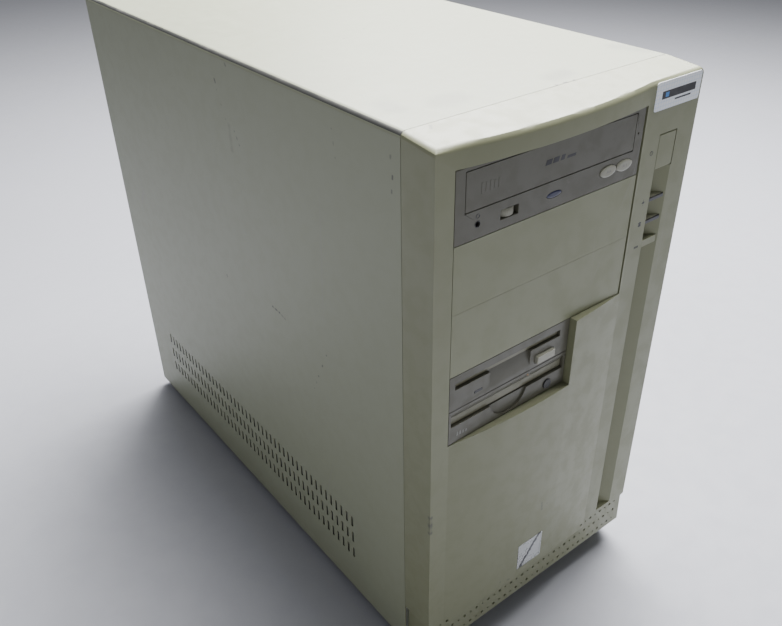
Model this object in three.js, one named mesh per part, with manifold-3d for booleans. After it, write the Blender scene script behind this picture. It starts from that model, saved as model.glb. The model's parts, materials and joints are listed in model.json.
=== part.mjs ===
// A 1990s desktop computer tower as separate named pieces.
// Millimetres, +Z up, the front faces -Y, +X is to the right seen from the front.
import * as THREE from "three";
import { mergeVertices } from "three/addons/utils/BufferGeometryUtils.js";
import Module from "manifold-3d";

const wasm = await Module();
wasm.setup();

// ---------- driving sizes ----------
const partGap = 0.3; // between two pieces that touch or fit
const buttonGap = 0.4; // round anything that is pressed
const sheet = 1; // chassis and cover steel

const coverWidth = 214;
const coverHeight = 401;
const coverDepth = 426;
const coverCornerRadius = 4;
const coverFlange = 10; // return of the cover at the back
const coverPlay = 0.5; // between cover and chassis
const footHeight = 8;
const footRadius = 13;
const footInset = 30; // from the cover's edges to a foot's axis
const footChamfer = 2;
const footTaper = 1;

const screwRadius = 1.7;
const screwHeadRadius = 4;
const screwHeadHeight = 2.6;
const screwLength = 6;
const screwInset = 4.5; // from the cover's sides to a screw's axis
const screwHeights = [0.2, 0.8]; // shares of the cover's height
const driverSlot = 1; // width and depth of the slot in a screw's head

const ventSlotWidth = 2.3;
const ventSlotHeight = 10.3;
const ventPitch = 7.04;
const ventRowPitch = 17.05;
const ventColumns = 46;
const ventRows = 3;
const ventFront = 63.7; // from the cover's front edge to the first slot
const ventBottom = 41.7; // from the cover's bottom edge to the lowest row's middle

const bezelDepth = 26.6; // from the cover's front edge to the bezel's flat strips
const bezelWall = 3;
const bezelEdgeRadius = 3.5;
const bezelTopLean = 0.1; // how far the top falls for each millimetre forward
const bezelGap = 0.4; // between bezel and cover
const crownHeight = 5.7; // how far the middle of the bezel bulges
const crownLeft = 14; // from the bezel's left side to the bulge
const crownWidth = 151;
const crownFoot = 34; // from the bezel's bottom to the bulge's lower edge
const crownFootSlope = 10;
const undercutHeight = 13.5; // the bezel's lower front edge above its bottom
const notchHeight = 41; // the finger notches in the bezel's lower sides
const notchDepth = 3.6;

const wideFaceWidth = 148; // 5.25 inch drive face
const widePitch = 42.3;
const wideBays = 3;
const slimFaceWidth = 101.6; // 3.5 inch drive face
const slimPitch = 25.4;
const slimBays = 2;
const faceGap = 0.4; // between two faces
const bayInset = 13.5; // from the cover's left side to the faces
const bayDrop = 16.1; // from the cover's top to the first face
const bayRightGap = 1.4; // between the wide faces and the bezel
const wideBodyWidth = 146;
const cageGap = 0.5; // between a drive and its cage

const grooveInset = 34.6; // from the bezel's right side to the groove's left wall
const grooveWidth = 16.5;
const grooveDepth = 11.2;
const grooveFoot = 43.5; // from the bezel's bottom to the groove's lower end
const powerTop = 37.7; // from the cover's top to the power button's top
const powerHeight = 23;
const lampDrop = [79.6, 95.2]; // from the cover's top to the two lamps' top edges
const lampHeight = 2.6;
const resetDrop = 109.8; // from the cover's top to the reset button's top edge
const resetHeight = 5;
const powerDepth = 17.3;
const tabEnd = 1.5; // from the groove's right side to the ends of the lamps and reset button
const tabStem = 8; // of the lamps and reset button behind the groove's floor

const holePitch = 6;
const holeRowPitch = 10;
const holeRows = 3;
const holeBottom = 18.9; // from the bezel's bottom to the lowest row
const holeInset = 11; // from the bezel's right side to the first column
const ventHoleRadius = 1.3;
const dimpleRadius = 0.9;
const dimpleDepth = 0.6;
const shortRowRight = 8; // the top row's holes at the right end
const shortRowLeft = 2; // and at the left end
const holeWall = 6; // left behind a through hole's end

const badgeSide = 25.4;
const badgeDepth = 1.3;
const badgeMiddle = [-13.4, 62.5]; // from the middle, and above the bezel's bottom
const labelSize = [43.6, 17.4];
const labelInset = 1.8; // from the bezel's right side
const labelDrop = 4;
const labelThickness = 0.3;
const labelClearance = 0.05;

const bayCoverWall = 2.4;
const bayCoverDepth = 18;

const fasciaDepth = 4;
const opticalDepth = 190; // of the drive's metal body
const doorInset = [7.2, 7.5]; // from the face's left and right sides
const doorDrop = [2.5, 24.9]; // from the face's top to the door's top and bottom
const doorDepth = 3;
const trayWidth = 128;
const trayThickness = 7;
const trayLift = 4; // of the tray above the door's lower edge
const trayLength = 150;
const discRadius = 61;
const discMargin = 4; // from the tray's front to the dish
const dishDepth = 3;
const spindleWidth = 24;
const spindleReach = 16; // of the spindle slot in front of the dish's middle
const keySize = [14, 7];
const keyMiddle = [119.4, 133.9]; // from the left side of the face
const keyRise = 1.4; // of the two keys above the jack, wheel and lamp
const keySpan = [-1, 9]; // of a key from the face's front
const releaseRadius = 0.7; // the drawer's emergency release
const releaseDrop = 15.1;
const releaseInset = 4.2; // from the face's right side
const stripDrop = 33.6; // from the face's top to the jack, wheel and lamp
const jackAcross = 16.1;
const jackRadius = 1.8;
const wheelAcross = 39.5;
const wheelRadius = 6.6;
const wheelThickness = 4.8;
const wheelSlot = [13.4, 5.8];
const wheelBack = 6.4; // from the face to the wheel's axis
const lampAcross = 74.2;
const opticalLamp = [12, 3.6];
const opticalLampSpan = [-0.2, 5];

const slimBodyInset = 0.5;
const floppyLength = 140;
const cartridgeLength = 150;
const housingWall = 0.8;
const flapThickness = 0.6;
const flapSetBack = 2.2;
const keyReach = 8; // of the eject buttons into the drives
// Across from the face's left side; down from its top, then tall, as shares of its height.
const floppySlotAcross = [4.4, 93.4];
const floppySlotDown = [0.224, 0.184];
const floppyScoopAcross = [32.4, 67];
const floppyScoopHeight = 0.424;
const floppyScoopDepth = 2.6;
const floppyKeyAcross = [72, 88];
const floppyKeyDown = [0.656, 0.216];
const floppyKeyProud = 2.2;
const floppyLampAcross = [20, 26.6];
const floppyLampDown = [0.736, 0.072];
const cartridgeSlotAcross = [1.9, 99.4];
const cartridgeSlotDown = [0.248, 0.24];
const cartridgeLeadDrop = 0.088;
const cartridgeLeadDepth = 2;
const crescentRadius = 16.3;
const crescentDepth = 1.4;
const crescentDrop = 0.072; // from the slot's top to the crescent's middle
const crescentOff = 0.8; // of the crescent to the left of the face's middle
const cartridgeKeyAcross = 85.2;
const cartridgeKeyDrop = 0.752;
const cartridgeKeyRadius = 0.136;
const cartridgeKeyProud = 0.8;

const hardDriveSize = [25.4, 147, 101.6];
const hardDriveLeft = -60;
const hardDriveFront = 12;
const hardDriveRim = 6; // round the recess in its left side
const ribbonWidth = 50;
const ribbonThickness = 1;
const ribbonLift = 20; // above the hard drive's bottom

const panLip = 12;
const intakeInset = 40; // from the chassis side
const intakeLift = 15; // above the cover's bottom
const intakeHeight = 30;
const wideCageDepth = 150;
const slimCageDepth = 120;
const cageWindows = 2;
const cageWindowShare = 0.35; // of a cage's height
const cageWindowFront = 20;
const cageWindowRear = 25; // left between the windows and behind them
const braceLead = 80; // from the power supply's front to the brace
const braceDepth = 16;
const braceDrop = 8;

const psuSize = [150, 140, 86];
const psuSheet = 0.8;
const psuDrop = 4; // below the chassis top
const psuRight = 20.5; // from the chassis side to the power supply
const psuMargin = 6; // of the supply behind the rear panel round its opening
const psuFanInset = 45; // from the supply's left side to the fan's axis
const psuVents = 9;
const psuVentWidth = 3;
const psuVentInset = 20; // from the supply's sides to the first and last vents
const psuVentFoot = 35;
const psuVentTop = 12; // from the supply's top
const inletSize = [27, 20];
const inletDepth = 16;
const inletFlange = [31, 24];
const inletRecess = [24, 16, 13];
const inletRight = 24; // from the supply's right side to the inlet's middle
const inletDrop = 22;
const inletProud = 1.5;
const pinPlaces = [
  [-7, -1.5],
  [0, 2.5],
  [7, -1.5],
];
const pinSize = [2, 12, 4];
const selectorDrop = 56;
const selectorSlot = [6.6, 15];
const selectorTravel = 6;
const knobSize = [6, 5.5, 6];
const knobProud = 1.5;
const leadRadius = 4;
const leadSag = 14;
const leadStraight = 20; // at each end
const leadPlace = [25, 18]; // from the supply's left side and bottom
const guardWire = 1.6;
const guardRings = [10, 19, 28, 37];
const guardReach = 46;
const guardClearance = 0.6;

const boardSize = [1.6, 190, 305];
const boardStandoff = 5;
const boardLift = 5.5; // above the chassis floor
const boardSetBack = 4; // from the rear panel's inside
const trayInset = 6.5; // from the chassis side to the motherboard tray
const trayMargin = [15, 8]; // of the tray in front of the board and above it
const trayHoleRadius = 24;
const trayHolePlace = [50, 60]; // behind the board's front and below its top
const standoffRadius = 3;
const standoffInset = 10;
const ioSize = [44.4, 158.7];
const ioDrop = 5; // below the board's top
const ioBehind = 2; // behind the board
const ioShellInset = 9; // from the opening's right side
const ioShellSpan = [8, 3]; // in front of the panel and behind it
const ioShells = [
  // width, then from and to below the opening's top
  [14, 4, 33],
  [14, 38, 54],
  [12, 58, 76],
  [12, 80, 118],
  [12, 124, 154],
];
const shieldMargin = 2;
const shieldThickness = 0.8;
const slotPitch = 20.32;
const slotCount = 7;
const slotOpening = [100, 13];
const slotInset = 6; // from the board's face to the openings
const slotPunch = 0.4; // depth of the outline of an unused slot
const firstSlotDrop = 176; // from the board's top to the first card's middle
const usedSlots = [0, 3];

const cpuSide = 50;
const cpuPlace = [80, 75]; // behind the board's front and below its top
const socketHeight = 5;
const coolerBase = 4;
const coolerHeight = 20;
const coolerFins = 8;
const finThickness = 1.6;
const headerHeight = 9;
const headerHalf = 4;
const headerEnd = 4; // of the header beyond the ribbon's edges
const headerFront = 14; // behind the board's front
const headerLift = 10.5;
const cardSocketHeight = 11;
const cardSocketHalf = 4;
const cardSocketSpan = [110, 25]; // in front of the board's back
const memorySize = [31.7, 1.4, 133.3];
const memoryFronts = [22, 32]; // behind the board's front
const memoryDrop = 150;
const memorySocketSize = [8, 6.8, 140];
const boardChipSide = 30;
const boardChipHeight = 2;
const boardChipFront = 60;
const boardChipRise = 40; // above the first card

const cardThickness = 1.6;
const bracketThickness = 0.9;
const bracketWidth = 18;
const bracketReach = 6; // of the bracket beyond the slot opening
const bracketClear = 2; // from the board's face
const cardChipSide = 25;
const cardChipHeight = 3;
const cardChipPlace = 0.6; // share of the card's length and height
const outletSpan = [8, 4.5]; // in front of the bracket and behind the panel
// length, height and sockets: across from the slot's right end, width and height
const graphicsCard = [165, 92, [[34, 31, 11]]];
const soundCard = [
  135,
  88,
  [
    [14, 8, 8],
    [26, 8, 8],
    [38, 8, 8],
    [52, 39, 11],
  ],
];

const fanSmall = { side: 50, depth: 11, bore: 22.5, hub: 12 };
const fanLarge = { side: 80, depth: 25, bore: 38, hub: 18 };
const fanBlades = 7;
const bladeThickness = 1;
const bladeClearance = 1.2;
const bladeShare = 0.8; // of the hub's length
const bladeSlant = 0.6;
const strutWidth = 2.4;
const strutShare = 0.14; // of the fan's depth
const rotorPlay = [0.8, 0.6]; // in front of the rotor and behind it

// ---------- places worked out from them ----------
const coverBottom = footHeight;
const coverTop = coverBottom + coverHeight;
const coverHalf = coverWidth / 2;
const chassisHalf = coverHalf - sheet - coverPlay;
const chassisTop = coverTop - sheet - coverPlay;
const chassisFloor = coverBottom + sheet;
const rearFace = coverDepth - sheet - coverPlay;
const rearInside = rearFace - sheet;

const faceFront = -bezelDepth;
const bezelBack = -bezelGap;
const crownStart = -coverHalf + crownLeft;
const crownSteps = 16;
const bayLeft = -coverHalf + bayInset;
const bayTop = coverTop - bayDrop;
const wideRight = bayLeft + wideFaceWidth;
const slimRight = bayLeft + slimFaceWidth;
const wideBottom = bayTop - wideBays * widePitch;
const slimBottom = wideBottom - slimBays * slimPitch;
const wideMiddle = (bayLeft + wideRight) / 2;
const wideBodyHalf = wideBodyWidth / 2;
const slimFaceHeight = slimPitch - faceGap;
const bodyFront = faceFront + fasciaDepth + partGap;
const flapSpan = [faceFront + flapSetBack, faceFront + flapSetBack + flapThickness];
const opticalFoot = bayTop - widePitch + faceGap;
const doorLeft = bayLeft + doorInset[0];
const doorRight = wideRight - doorInset[1];
const doorTop = bayTop - doorDrop[0];
const doorFoot = bayTop - doorDrop[1];

const grooveLeft = coverHalf - grooveInset;
const grooveRight = grooveLeft + grooveWidth;
const grooveTop = coverTop - powerTop - powerHeight;
const grooveBottom = coverBottom + grooveFoot;
const tabLeft = grooveLeft + buttonGap;
const tabRight = grooveRight - tabEnd;
const tabBack = faceFront + grooveDepth + tabStem;

const psuLeft = chassisHalf - psuRight - psuSize[0];
const psuBottom = chassisTop - psuDrop - psuSize[2];
const psuFront = rearInside - partGap - psuSize[1];
const psuBack = rearInside - partGap;
const psuFan = new THREE.Vector3(psuLeft + psuFanInset, 0, psuBottom + psuSize[2] / 2);
const leadStart = new THREE.Vector3(psuLeft + leadPlace[0], psuFront - partGap, psuBottom + leadPlace[1]);

const trayX = chassisHalf - trayInset;
const boardFaceX = trayX - boardStandoff - boardSize[0];
const boardBottom = chassisFloor + boardLift;
const boardTop = boardBottom + boardSize[2];
const boardBack = rearInside - boardSetBack;
const boardFront = boardBack - boardSize[1];
const headerY = boardFront + headerFront;
const cpuMiddle = [boardFront + cpuPlace[0], boardTop - cpuPlace[1]];
const slotRight = boardFaceX - slotInset;
const bracketBack = rearInside - partGap;
const ioRight = boardFaceX + boardSize[0] + ioBehind;
const ioTop = boardTop - ioDrop;

// ---------- colours ----------
const paint = {
  cover: { color: 0xcfcfc2, roughness: 0.5, metalness: 0.1 },
  bezel: { color: 0xcfccb6, roughness: 0.55, metalness: 0 },
  drive: { color: 0xc4c3ba, roughness: 0.5, metalness: 0 },
  steel: { color: 0xb4b8ba, roughness: 0.35, metalness: 0.9 },
  dark: { color: 0x1b1c1e, roughness: 0.45, metalness: 0 },
  board: { color: 0x1f5a33, roughness: 0.6, metalness: 0 },
  chip: { color: 0x2a2a2c, roughness: 0.6, metalness: 0 },
  lamp: { color: 0x1c2036, roughness: 0.2, metalness: 0 },
  silver: { color: 0xb9bab8, roughness: 0.3, metalness: 0.7 },
  paper: { color: 0xe6e9ee, roughness: 0.6, metalness: 0 },
  red: { color: 0xa62a22, roughness: 0.5, metalness: 0 },
  grey: { color: 0x8d8f92, roughness: 0.6, metalness: 0 },
};

const tower = new THREE.Group();
tower.name = "desktop_computer_tower";

// ---------- shapes ----------
function box(x0, x1, y0, y1, z0, z1) {
  const geometry = new THREE.BoxGeometry(x1 - x0, y1 - y0, z1 - z0);
  return geometry.translate((x0 + x1) / 2, (y0 + y1) / 2, (z0 + z1) / 2);
}

// An outline pushed along an axis. The outline's two numbers are the axes that follow it in the
// order X, Y, Z, X: (Y, Z) along X, (Z, X) along Y and (X, Y) along Z.
function prism(axis, shape, from, to, curveSegments = 6, bevel = {}) {
  const points = Array.isArray(shape) && shape.map(([a, b]) => new THREE.Vector2(a, b));
  const flat = points ? new THREE.Shape(points) : shape;
  const settings = { depth: to - from, bevelEnabled: false, curveSegments, ...bevel };
  const geometry = new THREE.ExtrudeGeometry(flat, settings).translate(0, 0, from);
  const x = new THREE.Vector3(1, 0, 0);
  const y = new THREE.Vector3(0, 1, 0);
  const z = new THREE.Vector3(0, 0, 1);
  const basis = new THREE.Matrix4();
  if (axis === "x") basis.makeBasis(y, z, x);
  if (axis === "y") basis.makeBasis(z, x, y);
  return geometry.applyMatrix4(basis);
}

function rod(axis, radius, from, to, across, sides = 16) {
  const circle = new THREE.Shape();
  const turn = (2 * Math.PI) / sides;
  for (let i = 0; i < sides; i += 1) {
    const angle = (i + 0.5) * turn;
    const point = [across[0] + radius * Math.cos(angle), across[1] + radius * Math.sin(angle)];
    if (i === 0) circle.moveTo(...point);
    else circle.lineTo(...point);
  }
  return prism(axis, circle, from, to);
}

function oval(width, height, middle, sides = 20) {
  const points = [];
  for (let i = 0; i < sides; i += 1) {
    const angle = (2 * Math.PI * i) / sides;
    points.push([middle[1] + (height / 2) * Math.sin(angle), middle[0] + (width / 2) * Math.cos(angle)]);
  }
  return points;
}

// ---------- joining and cutting ----------
function solid(geometry) {
  const bare = geometry.index ? geometry.toNonIndexed() : geometry.clone();
  bare.deleteAttribute("normal");
  bare.deleteAttribute("uv");
  const merged = mergeVertices(bare, 1e-4);
  return new wasm.Manifold(
    new wasm.Mesh({
      numProp: 3,
      vertProperties: merged.attributes.position.array,
      triVerts: new Uint32Array(merged.index.array),
    }),
  );
}

function together(pieces) {
  return pieces.map(solid).reduce((sum, piece) => sum.add(piece));
}

function geometryOf(manifold) {
  const mesh = manifold.getMesh();
  const geometry = new THREE.BufferGeometry();
  geometry.setAttribute("position", new THREE.BufferAttribute(mesh.vertProperties.slice(), 3));
  geometry.setIndex(new THREE.BufferAttribute(mesh.triVerts.slice(), 1));
  const sharp = geometry.toNonIndexed();
  sharp.computeVertexNormals();
  return sharp;
}

function shaped(added, removed = []) {
  const body = together(added);
  return geometryOf(removed.length ? body.subtract(together(removed)) : body);
}

function place(name, finish, geometry) {
  const mesh = new THREE.Mesh(geometry, new THREE.MeshStandardMaterial(paint[finish]));
  mesh.name = name;
  tower.add(mesh);
  return mesh;
}

// ---------- cover ----------
function archShape(inset, radius, bottom) {
  const half = coverHalf - inset;
  const top = coverTop - inset;
  const shape = new THREE.Shape();
  shape.moveTo(bottom, -half);
  shape.lineTo(bottom, half);
  shape.lineTo(top - radius, half);
  shape.absarc(top - radius, half - radius, radius, Math.PI / 2, 0, true);
  shape.lineTo(top, -half + radius);
  shape.absarc(top - radius, -half + radius, radius, 0, -Math.PI / 2, true);
  shape.closePath();
  return shape;
}

function screwPlaces() {
  const x = coverHalf - screwInset;
  return [-x, x].flatMap((side) => screwHeights.map((share) => [side, coverBottom + share * coverHeight]));
}

function addCover() {
  const below = coverBottom - 5;
  const flangeBack = coverDepth + 5;
  const shell = prism("y", archShape(0, coverCornerRadius, coverBottom), 0, coverDepth);
  const hollow = prism("y", archShape(sheet, coverCornerRadius - sheet, below), -5, coverDepth - sheet);
  const windowHalf = coverHalf - coverFlange;
  const window = box(-windowHalf, windowHalf, coverDepth - 5, flangeBack, below, coverTop - coverFlange);
  const slots = [];
  for (const wall of [-coverHalf, coverHalf]) {
    for (let row = 0; row < ventRows; row += 1) {
      const z = coverBottom + ventBottom + row * ventRowPitch;
      for (let column = 0; column < ventColumns; column += 1) {
        const y = ventFront + column * ventPitch;
        const [w, h] = [ventSlotWidth / 2, ventSlotHeight / 2];
        slots.push(box(wall - 2 * sheet, wall + 2 * sheet, y - w, y + w, z - h, z + h));
      }
    }
  }
  const holes = screwPlaces().map(([x, z]) =>
    rod("y", screwRadius + partGap, coverDepth - 2 * sheet, flangeBack, [z, x], 10),
  );
  place("cover", "cover", shaped([shell], [hollow, window, ...slots, ...holes]));
}

function addCoverScrews() {
  screwPlaces().forEach(([x, z], index) => {
    const front = coverDepth + partGap;
    const back = front + screwHeadHeight;
    const head = rod("y", screwHeadRadius, front, back, [z, x], 6);
    const shank = rod("y", screwRadius, coverDepth - screwLength, front + 1, [z, x], 10);
    const [reach, half] = [screwHeadRadius, driverSlot / 2];
    const driver = box(x - reach, x + reach, back - driverSlot, back + driverSlot, z - half, z + half);
    place(`cover_screw_${index + 1}`, "steel", shaped([head, shank], [driver]));
  });
}

// ---------- chassis ----------
function slotMiddle(index) {
  return boardTop - firstSlotDrop - index * slotPitch;
}

// The chassis section, its top corners cut to clear the cover's round ones.
function chassisOutline() {
  const corner = coverCornerRadius / 2;
  return [
    [coverBottom, -chassisHalf],
    [coverBottom, chassisHalf],
    [chassisTop - corner, chassisHalf],
    [chassisTop, chassisHalf - corner],
    [chassisTop, -chassisHalf + corner],
    [chassisTop - corner, -chassisHalf],
  ];
}

function addChassis() {
  const half = chassisHalf;
  const pan = box(-half, half, sheet + partGap, rearInside - partGap, coverBottom, chassisFloor);
  const lips = [-half, half - sheet].map((x) =>
    box(x, x + sheet, sheet + partGap, rearInside - partGap, coverBottom, chassisFloor + panLip),
  );
  place("base_pan", "steel", shaped([pan, ...lips]));

  const plate = prism("y", chassisOutline(), 0, sheet);
  const wideHole = box(
    wideMiddle - wideBodyHalf - cageGap,
    wideMiddle + wideBodyHalf + cageGap,
    -1,
    sheet + 1,
    wideBottom - 1,
    bayTop,
  );
  const slimHole = box(bayLeft, slimRight, -1, sheet + 1, slimBottom, wideBottom);
  const intakeHalf = chassisHalf - intakeInset;
  const intakeFoot = coverBottom + intakeLift;
  const intake = box(-intakeHalf, intakeHalf, -1, sheet + 1, intakeFoot, intakeFoot + intakeHeight);
  place("front_plate", "steel", shaped([plate], [wideHole, slimHole, intake]));

  const back = prism("y", chassisOutline(), rearInside, rearFace);
  const openings = [
    box(
      psuLeft + psuMargin,
      psuLeft + psuSize[0] - psuMargin,
      rearInside - 1,
      rearFace + 1,
      psuBottom + psuMargin - 1,
      psuBottom + psuSize[2] - psuMargin,
    ),
    box(ioRight - ioSize[0], ioRight, rearInside - 1, rearFace + 1, ioTop - ioSize[1], ioTop),
    ...screwPlaces().map(([x, z]) =>
      rod("y", screwRadius + partGap, rearInside - 1, rearFace + 1, [z, x], 10),
    ),
  ];
  for (let index = 0; index < slotCount; index += 1) {
    const z = slotMiddle(index);
    const depth = usedSlots.includes(index) ? sheet + 1 : slotPunch;
    const [w, h] = slotOpening;
    openings.push(box(slotRight - w, slotRight, rearFace - depth, rearFace + 1, z - h / 2, z + h / 2));
  }
  place("rear_panel", "steel", shaped([back], openings));

  const [trayAhead, trayAbove] = trayMargin;
  const wall = box(
    trayX,
    trayX + sheet,
    boardFront - trayAhead,
    rearInside - partGap,
    chassisFloor + partGap,
    boardTop + trayAbove,
  );
  const standoffs = [];
  const standoffFrom = boardFaceX + boardSize[0] + partGap;
  for (const y of [boardFront + standoffInset, (boardFront + boardBack) / 2, boardBack - standoffInset]) {
    for (const z of [boardBottom + standoffInset, (boardBottom + boardTop) / 2, boardTop - standoffInset]) {
      standoffs.push(rod("x", standoffRadius, standoffFrom, trayX + sheet / 2, [y, z], 8));
    }
  }
  const holeMiddle = [boardFront + trayHolePlace[0], boardTop - trayHolePlace[1]];
  const window = rod("x", trayHoleRadius, trayX - 1, trayX + 2 * sheet, holeMiddle, 16);
  place("motherboard_tray", "steel", shaped([wall, ...standoffs], [window]));

  const braceFront = psuFront - braceLead;
  const span = half - coverCornerRadius;
  const top = box(-span, span, braceFront, braceFront + braceDepth, chassisTop - sheet, chassisTop);
  const down = box(-span, span, braceFront, braceFront + sheet, chassisTop - braceDrop, chassisTop);
  place("top_brace", "steel", shaped([top, down]));
}

// A cage round a stack of drives: two walls and one sheet joining them.
function addCage(name, left, right, low, high, depth, sheetOnTop) {
  const front = sheet + partGap;
  const walls = [left - sheet, right].map((x) => box(x, x + sheet, front, front + depth, low, high));
  const joinFrom = sheetOnTop ? high - sheet : low;
  const join = box(left - sheet, right + sheet, front, front + depth, joinFrom, joinFrom + sheet);
  const windows = [];
  const half = ((high - low) * cageWindowShare) / 2;
  const middle = (low + high) / 2;
  const length = (depth - cageWindowFront) / cageWindows - cageWindowRear;
  const [outLeft, outRight] = [left - 2 * sheet, right + 2 * sheet];
  for (let index = 0; index < cageWindows; index += 1) {
    const y = front + cageWindowFront + index * (length + cageWindowRear);
    windows.push(box(outLeft, outRight, y, y + length, middle - half, middle + half));
  }
  place(name, "steel", shaped([...walls, join], windows));
}

function addCages() {
  const wideHalf = wideBodyHalf + cageGap;
  addCage(
    "drive_cage_wide",
    wideMiddle - wideHalf,
    wideMiddle + wideHalf,
    wideBottom,
    bayTop + cageGap + sheet,
    wideCageDepth,
    true,
  );
  addCage(
    "drive_cage_slim",
    bayLeft - cageGap,
    slimRight + cageGap,
    slimBottom - sheet,
    wideBottom - 2 * partGap,
    slimCageDepth,
    false,
  );
}

function addFeet() {
  const height = footHeight - partGap;
  const profile = [
    [0, 0],
    [footRadius - footChamfer, 0],
    [footRadius, footChamfer],
    [footRadius - footTaper, height],
    [0, height],
  ].map(([r, z]) => new THREE.Vector2(r, z));
  const x = coverHalf - footInset;
  const places = [
    [-x, footInset],
    [x, footInset],
    [-x, coverDepth - footInset],
    [x, coverDepth - footInset],
  ];
  places.forEach(([footX, footY], index) => {
    const foot = new THREE.LatheGeometry(profile, 20).rotateX(Math.PI / 2);
    const mesh = place(`foot_${index + 1}`, "dark", geometryOf(solid(foot)));
    mesh.position.set(footX, footY, 0);
  });
}

// ---------- front bezel ----------
function crownFront(x) {
  const half = crownWidth / 2;
  const radius = (half * half + crownHeight * crownHeight) / (2 * crownHeight);
  const off = x - (crownStart + half);
  return faceFront - crownHeight + radius - Math.sqrt(radius * radius - off * off);
}

function bezelOutline(back) {
  const points = [
    [-coverHalf, back],
    [-coverHalf, faceFront],
  ];
  for (let step = 0; step <= crownSteps; step += 1) {
    const x = crownStart + (crownWidth * step) / crownSteps;
    points.push([x, crownFront(x)]);
  }
  points.push([coverHalf, faceFront], [coverHalf, back]);
  return points;
}

function bezelBlock() {
  const deep = 20;
  const rounding = {
    bevelEnabled: true,
    bevelThickness: bezelEdgeRadius,
    bevelSize: bezelEdgeRadius,
    bevelOffset: -bezelEdgeRadius,
    bevelSegments: 3,
  };
  const block = prism("z", bezelOutline(deep), coverBottom - deep, coverTop - bezelEdgeRadius, 1, rounding);
  const corners = block.getAttribute("position");
  for (let index = 0; index < corners.count; index += 1) {
    const z = corners.getZ(index);
    if (z > coverBottom) corners.setZ(index, z + bezelTopLean * (corners.getY(index) - bezelBack));
  }
  return block;
}

function perforations() {
  const cuts = [];
  const columns = Math.round((coverWidth - 2 * holeInset) / holePitch) + 1;
  for (let row = 0; row < holeRows; row += 1) {
    const z = coverBottom + holeBottom + row * holeRowPitch;
    for (let column = 0; column < columns; column += 1) {
      const topRow = row === holeRows - 1;
      if (topRow && column >= shortRowRight && column < columns - shortRowLeft) continue;
      const x = coverHalf - holeInset - column * holePitch;
      const through = (column + row) % 2 === 1;
      const radius = through ? ventHoleRadius : dimpleRadius;
      const depth = through ? bezelDepth - holeWall : dimpleDepth;
      cuts.push(rod("y", radius, faceFront - 1, faceFront + depth, [z, x], through ? 8 : 6));
    }
  }
  return cuts;
}

function tabBox(top, height, room) {
  const front = faceFront + (room ? -1 : partGap);
  return box(tabLeft - room, tabRight + room, front, tabBack + 2 * room, top - height - room, top + room);
}

// The hollow behind the bezel's front wall, shallower behind the groove.
function bezelHollow(sideWall, from, to) {
  const floor = faceFront + bezelWall;
  const grooveFloor = faceFront + grooveDepth + bezelWall;
  return prism(
    "z",
    [
      [-coverHalf + sideWall, 1],
      [-coverHalf + sideWall, floor],
      [grooveLeft - bezelWall, floor],
      [grooveLeft - bezelWall, grooveFloor],
      [coverHalf - sideWall, grooveFloor],
      [coverHalf - sideWall, 1],
    ],
    from,
    to,
  );
}

function addBezel() {
  const wide = 2 * coverHalf;
  const proud = crownHeight + bezelWall;
  const slopeRise = (crownFootSlope * proud) / crownHeight;
  const foot = coverBottom + crownFoot;
  const under = coverBottom + undercutHeight;
  const aboveNotch = coverBottom + notchHeight + bezelWall;
  const hollows = [
    bezelHollow(bezelWall + notchDepth, under + bezelWall, aboveNotch + 1),
    bezelHollow(bezelWall, aboveNotch, coverTop - 2 * bezelEdgeRadius),
  ];
  const crownCut = prism(
    "x",
    [
      [faceFront, coverBottom - 1],
      [faceFront, foot],
      [faceFront - proud, foot + slopeRise],
      [faceFront - proud, coverBottom - 1],
    ],
    -wide,
    wide,
  );
  const underCut = prism(
    "x",
    [
      [faceFront + undercutHeight + 1, coverBottom - 1],
      [faceFront - 1, under + 1],
      [faceFront - proud, coverBottom - 1],
    ],
    -wide,
    wide,
  );
  const notches = [-1, 1].map((side) =>
    prism(
      "y",
      [
        [coverBottom - 1, side * (coverHalf + 1)],
        [coverBottom + notchHeight + 1, side * (coverHalf + 1)],
        [coverBottom + notchHeight, side * (coverHalf - notchDepth)],
        [coverBottom - 1, side * (coverHalf - notchDepth / 2)],
      ],
      -bezelDepth - 10,
      1,
    ),
  );
  const through = [faceFront - 10, 1];
  const bays = [
    box(bayLeft - faceGap, wideRight + bayRightGap, ...through, wideBottom - faceGap / 2, bayTop + faceGap),
    box(bayLeft - faceGap, slimRight + 2 * faceGap, ...through, slimBottom - faceGap / 2, wideBottom),
  ];
  const run = grooveWidth / grooveDepth;
  const groove = prism(
    "z",
    [
      [grooveLeft, faceFront - 1],
      [grooveLeft, faceFront + grooveDepth],
      [grooveRight + run, faceFront - 1],
    ],
    grooveBottom,
    grooveTop,
  );
  const powerHole = box(
    grooveLeft,
    grooveRight + 2 * buttonGap,
    ...through,
    grooveTop - 0.01,
    grooveTop + powerHeight + buttonGap,
  );
  const lampSlots = lampDrop.map((drop) => tabBox(coverTop - drop, lampHeight, partGap));
  const resetSlot = tabBox(coverTop - resetDrop, resetHeight, partGap);
  const badge = badgeBox(0);
  const trims = [
    box(-wide, wide, bezelBack, 30, -30, coverTop + 30),
    box(-wide, wide, -wide, 30, -30, coverBottom),
    ...hollows,
    crownCut,
    underCut,
    ...notches,
    ...bays,
    groove,
    powerHole,
    ...lampSlots,
    resetSlot,
    badge,
    ...perforations(),
  ];
  place("front_bezel", "bezel", shaped([bezelBlock()], trims));
}

function badgeBox(inset) {
  const [x, height] = badgeMiddle;
  const z = coverBottom + height;
  const half = badgeSide / 2 - inset;
  const floor = faceFront - crownHeight + badgeDepth;
  const back = floor - (inset ? partGap / 2 : 0);
  const front = inset ? floor - badgeDepth : floor - 10;
  return box(x - half, x + half, front, back, z - half, z + half);
}

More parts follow.
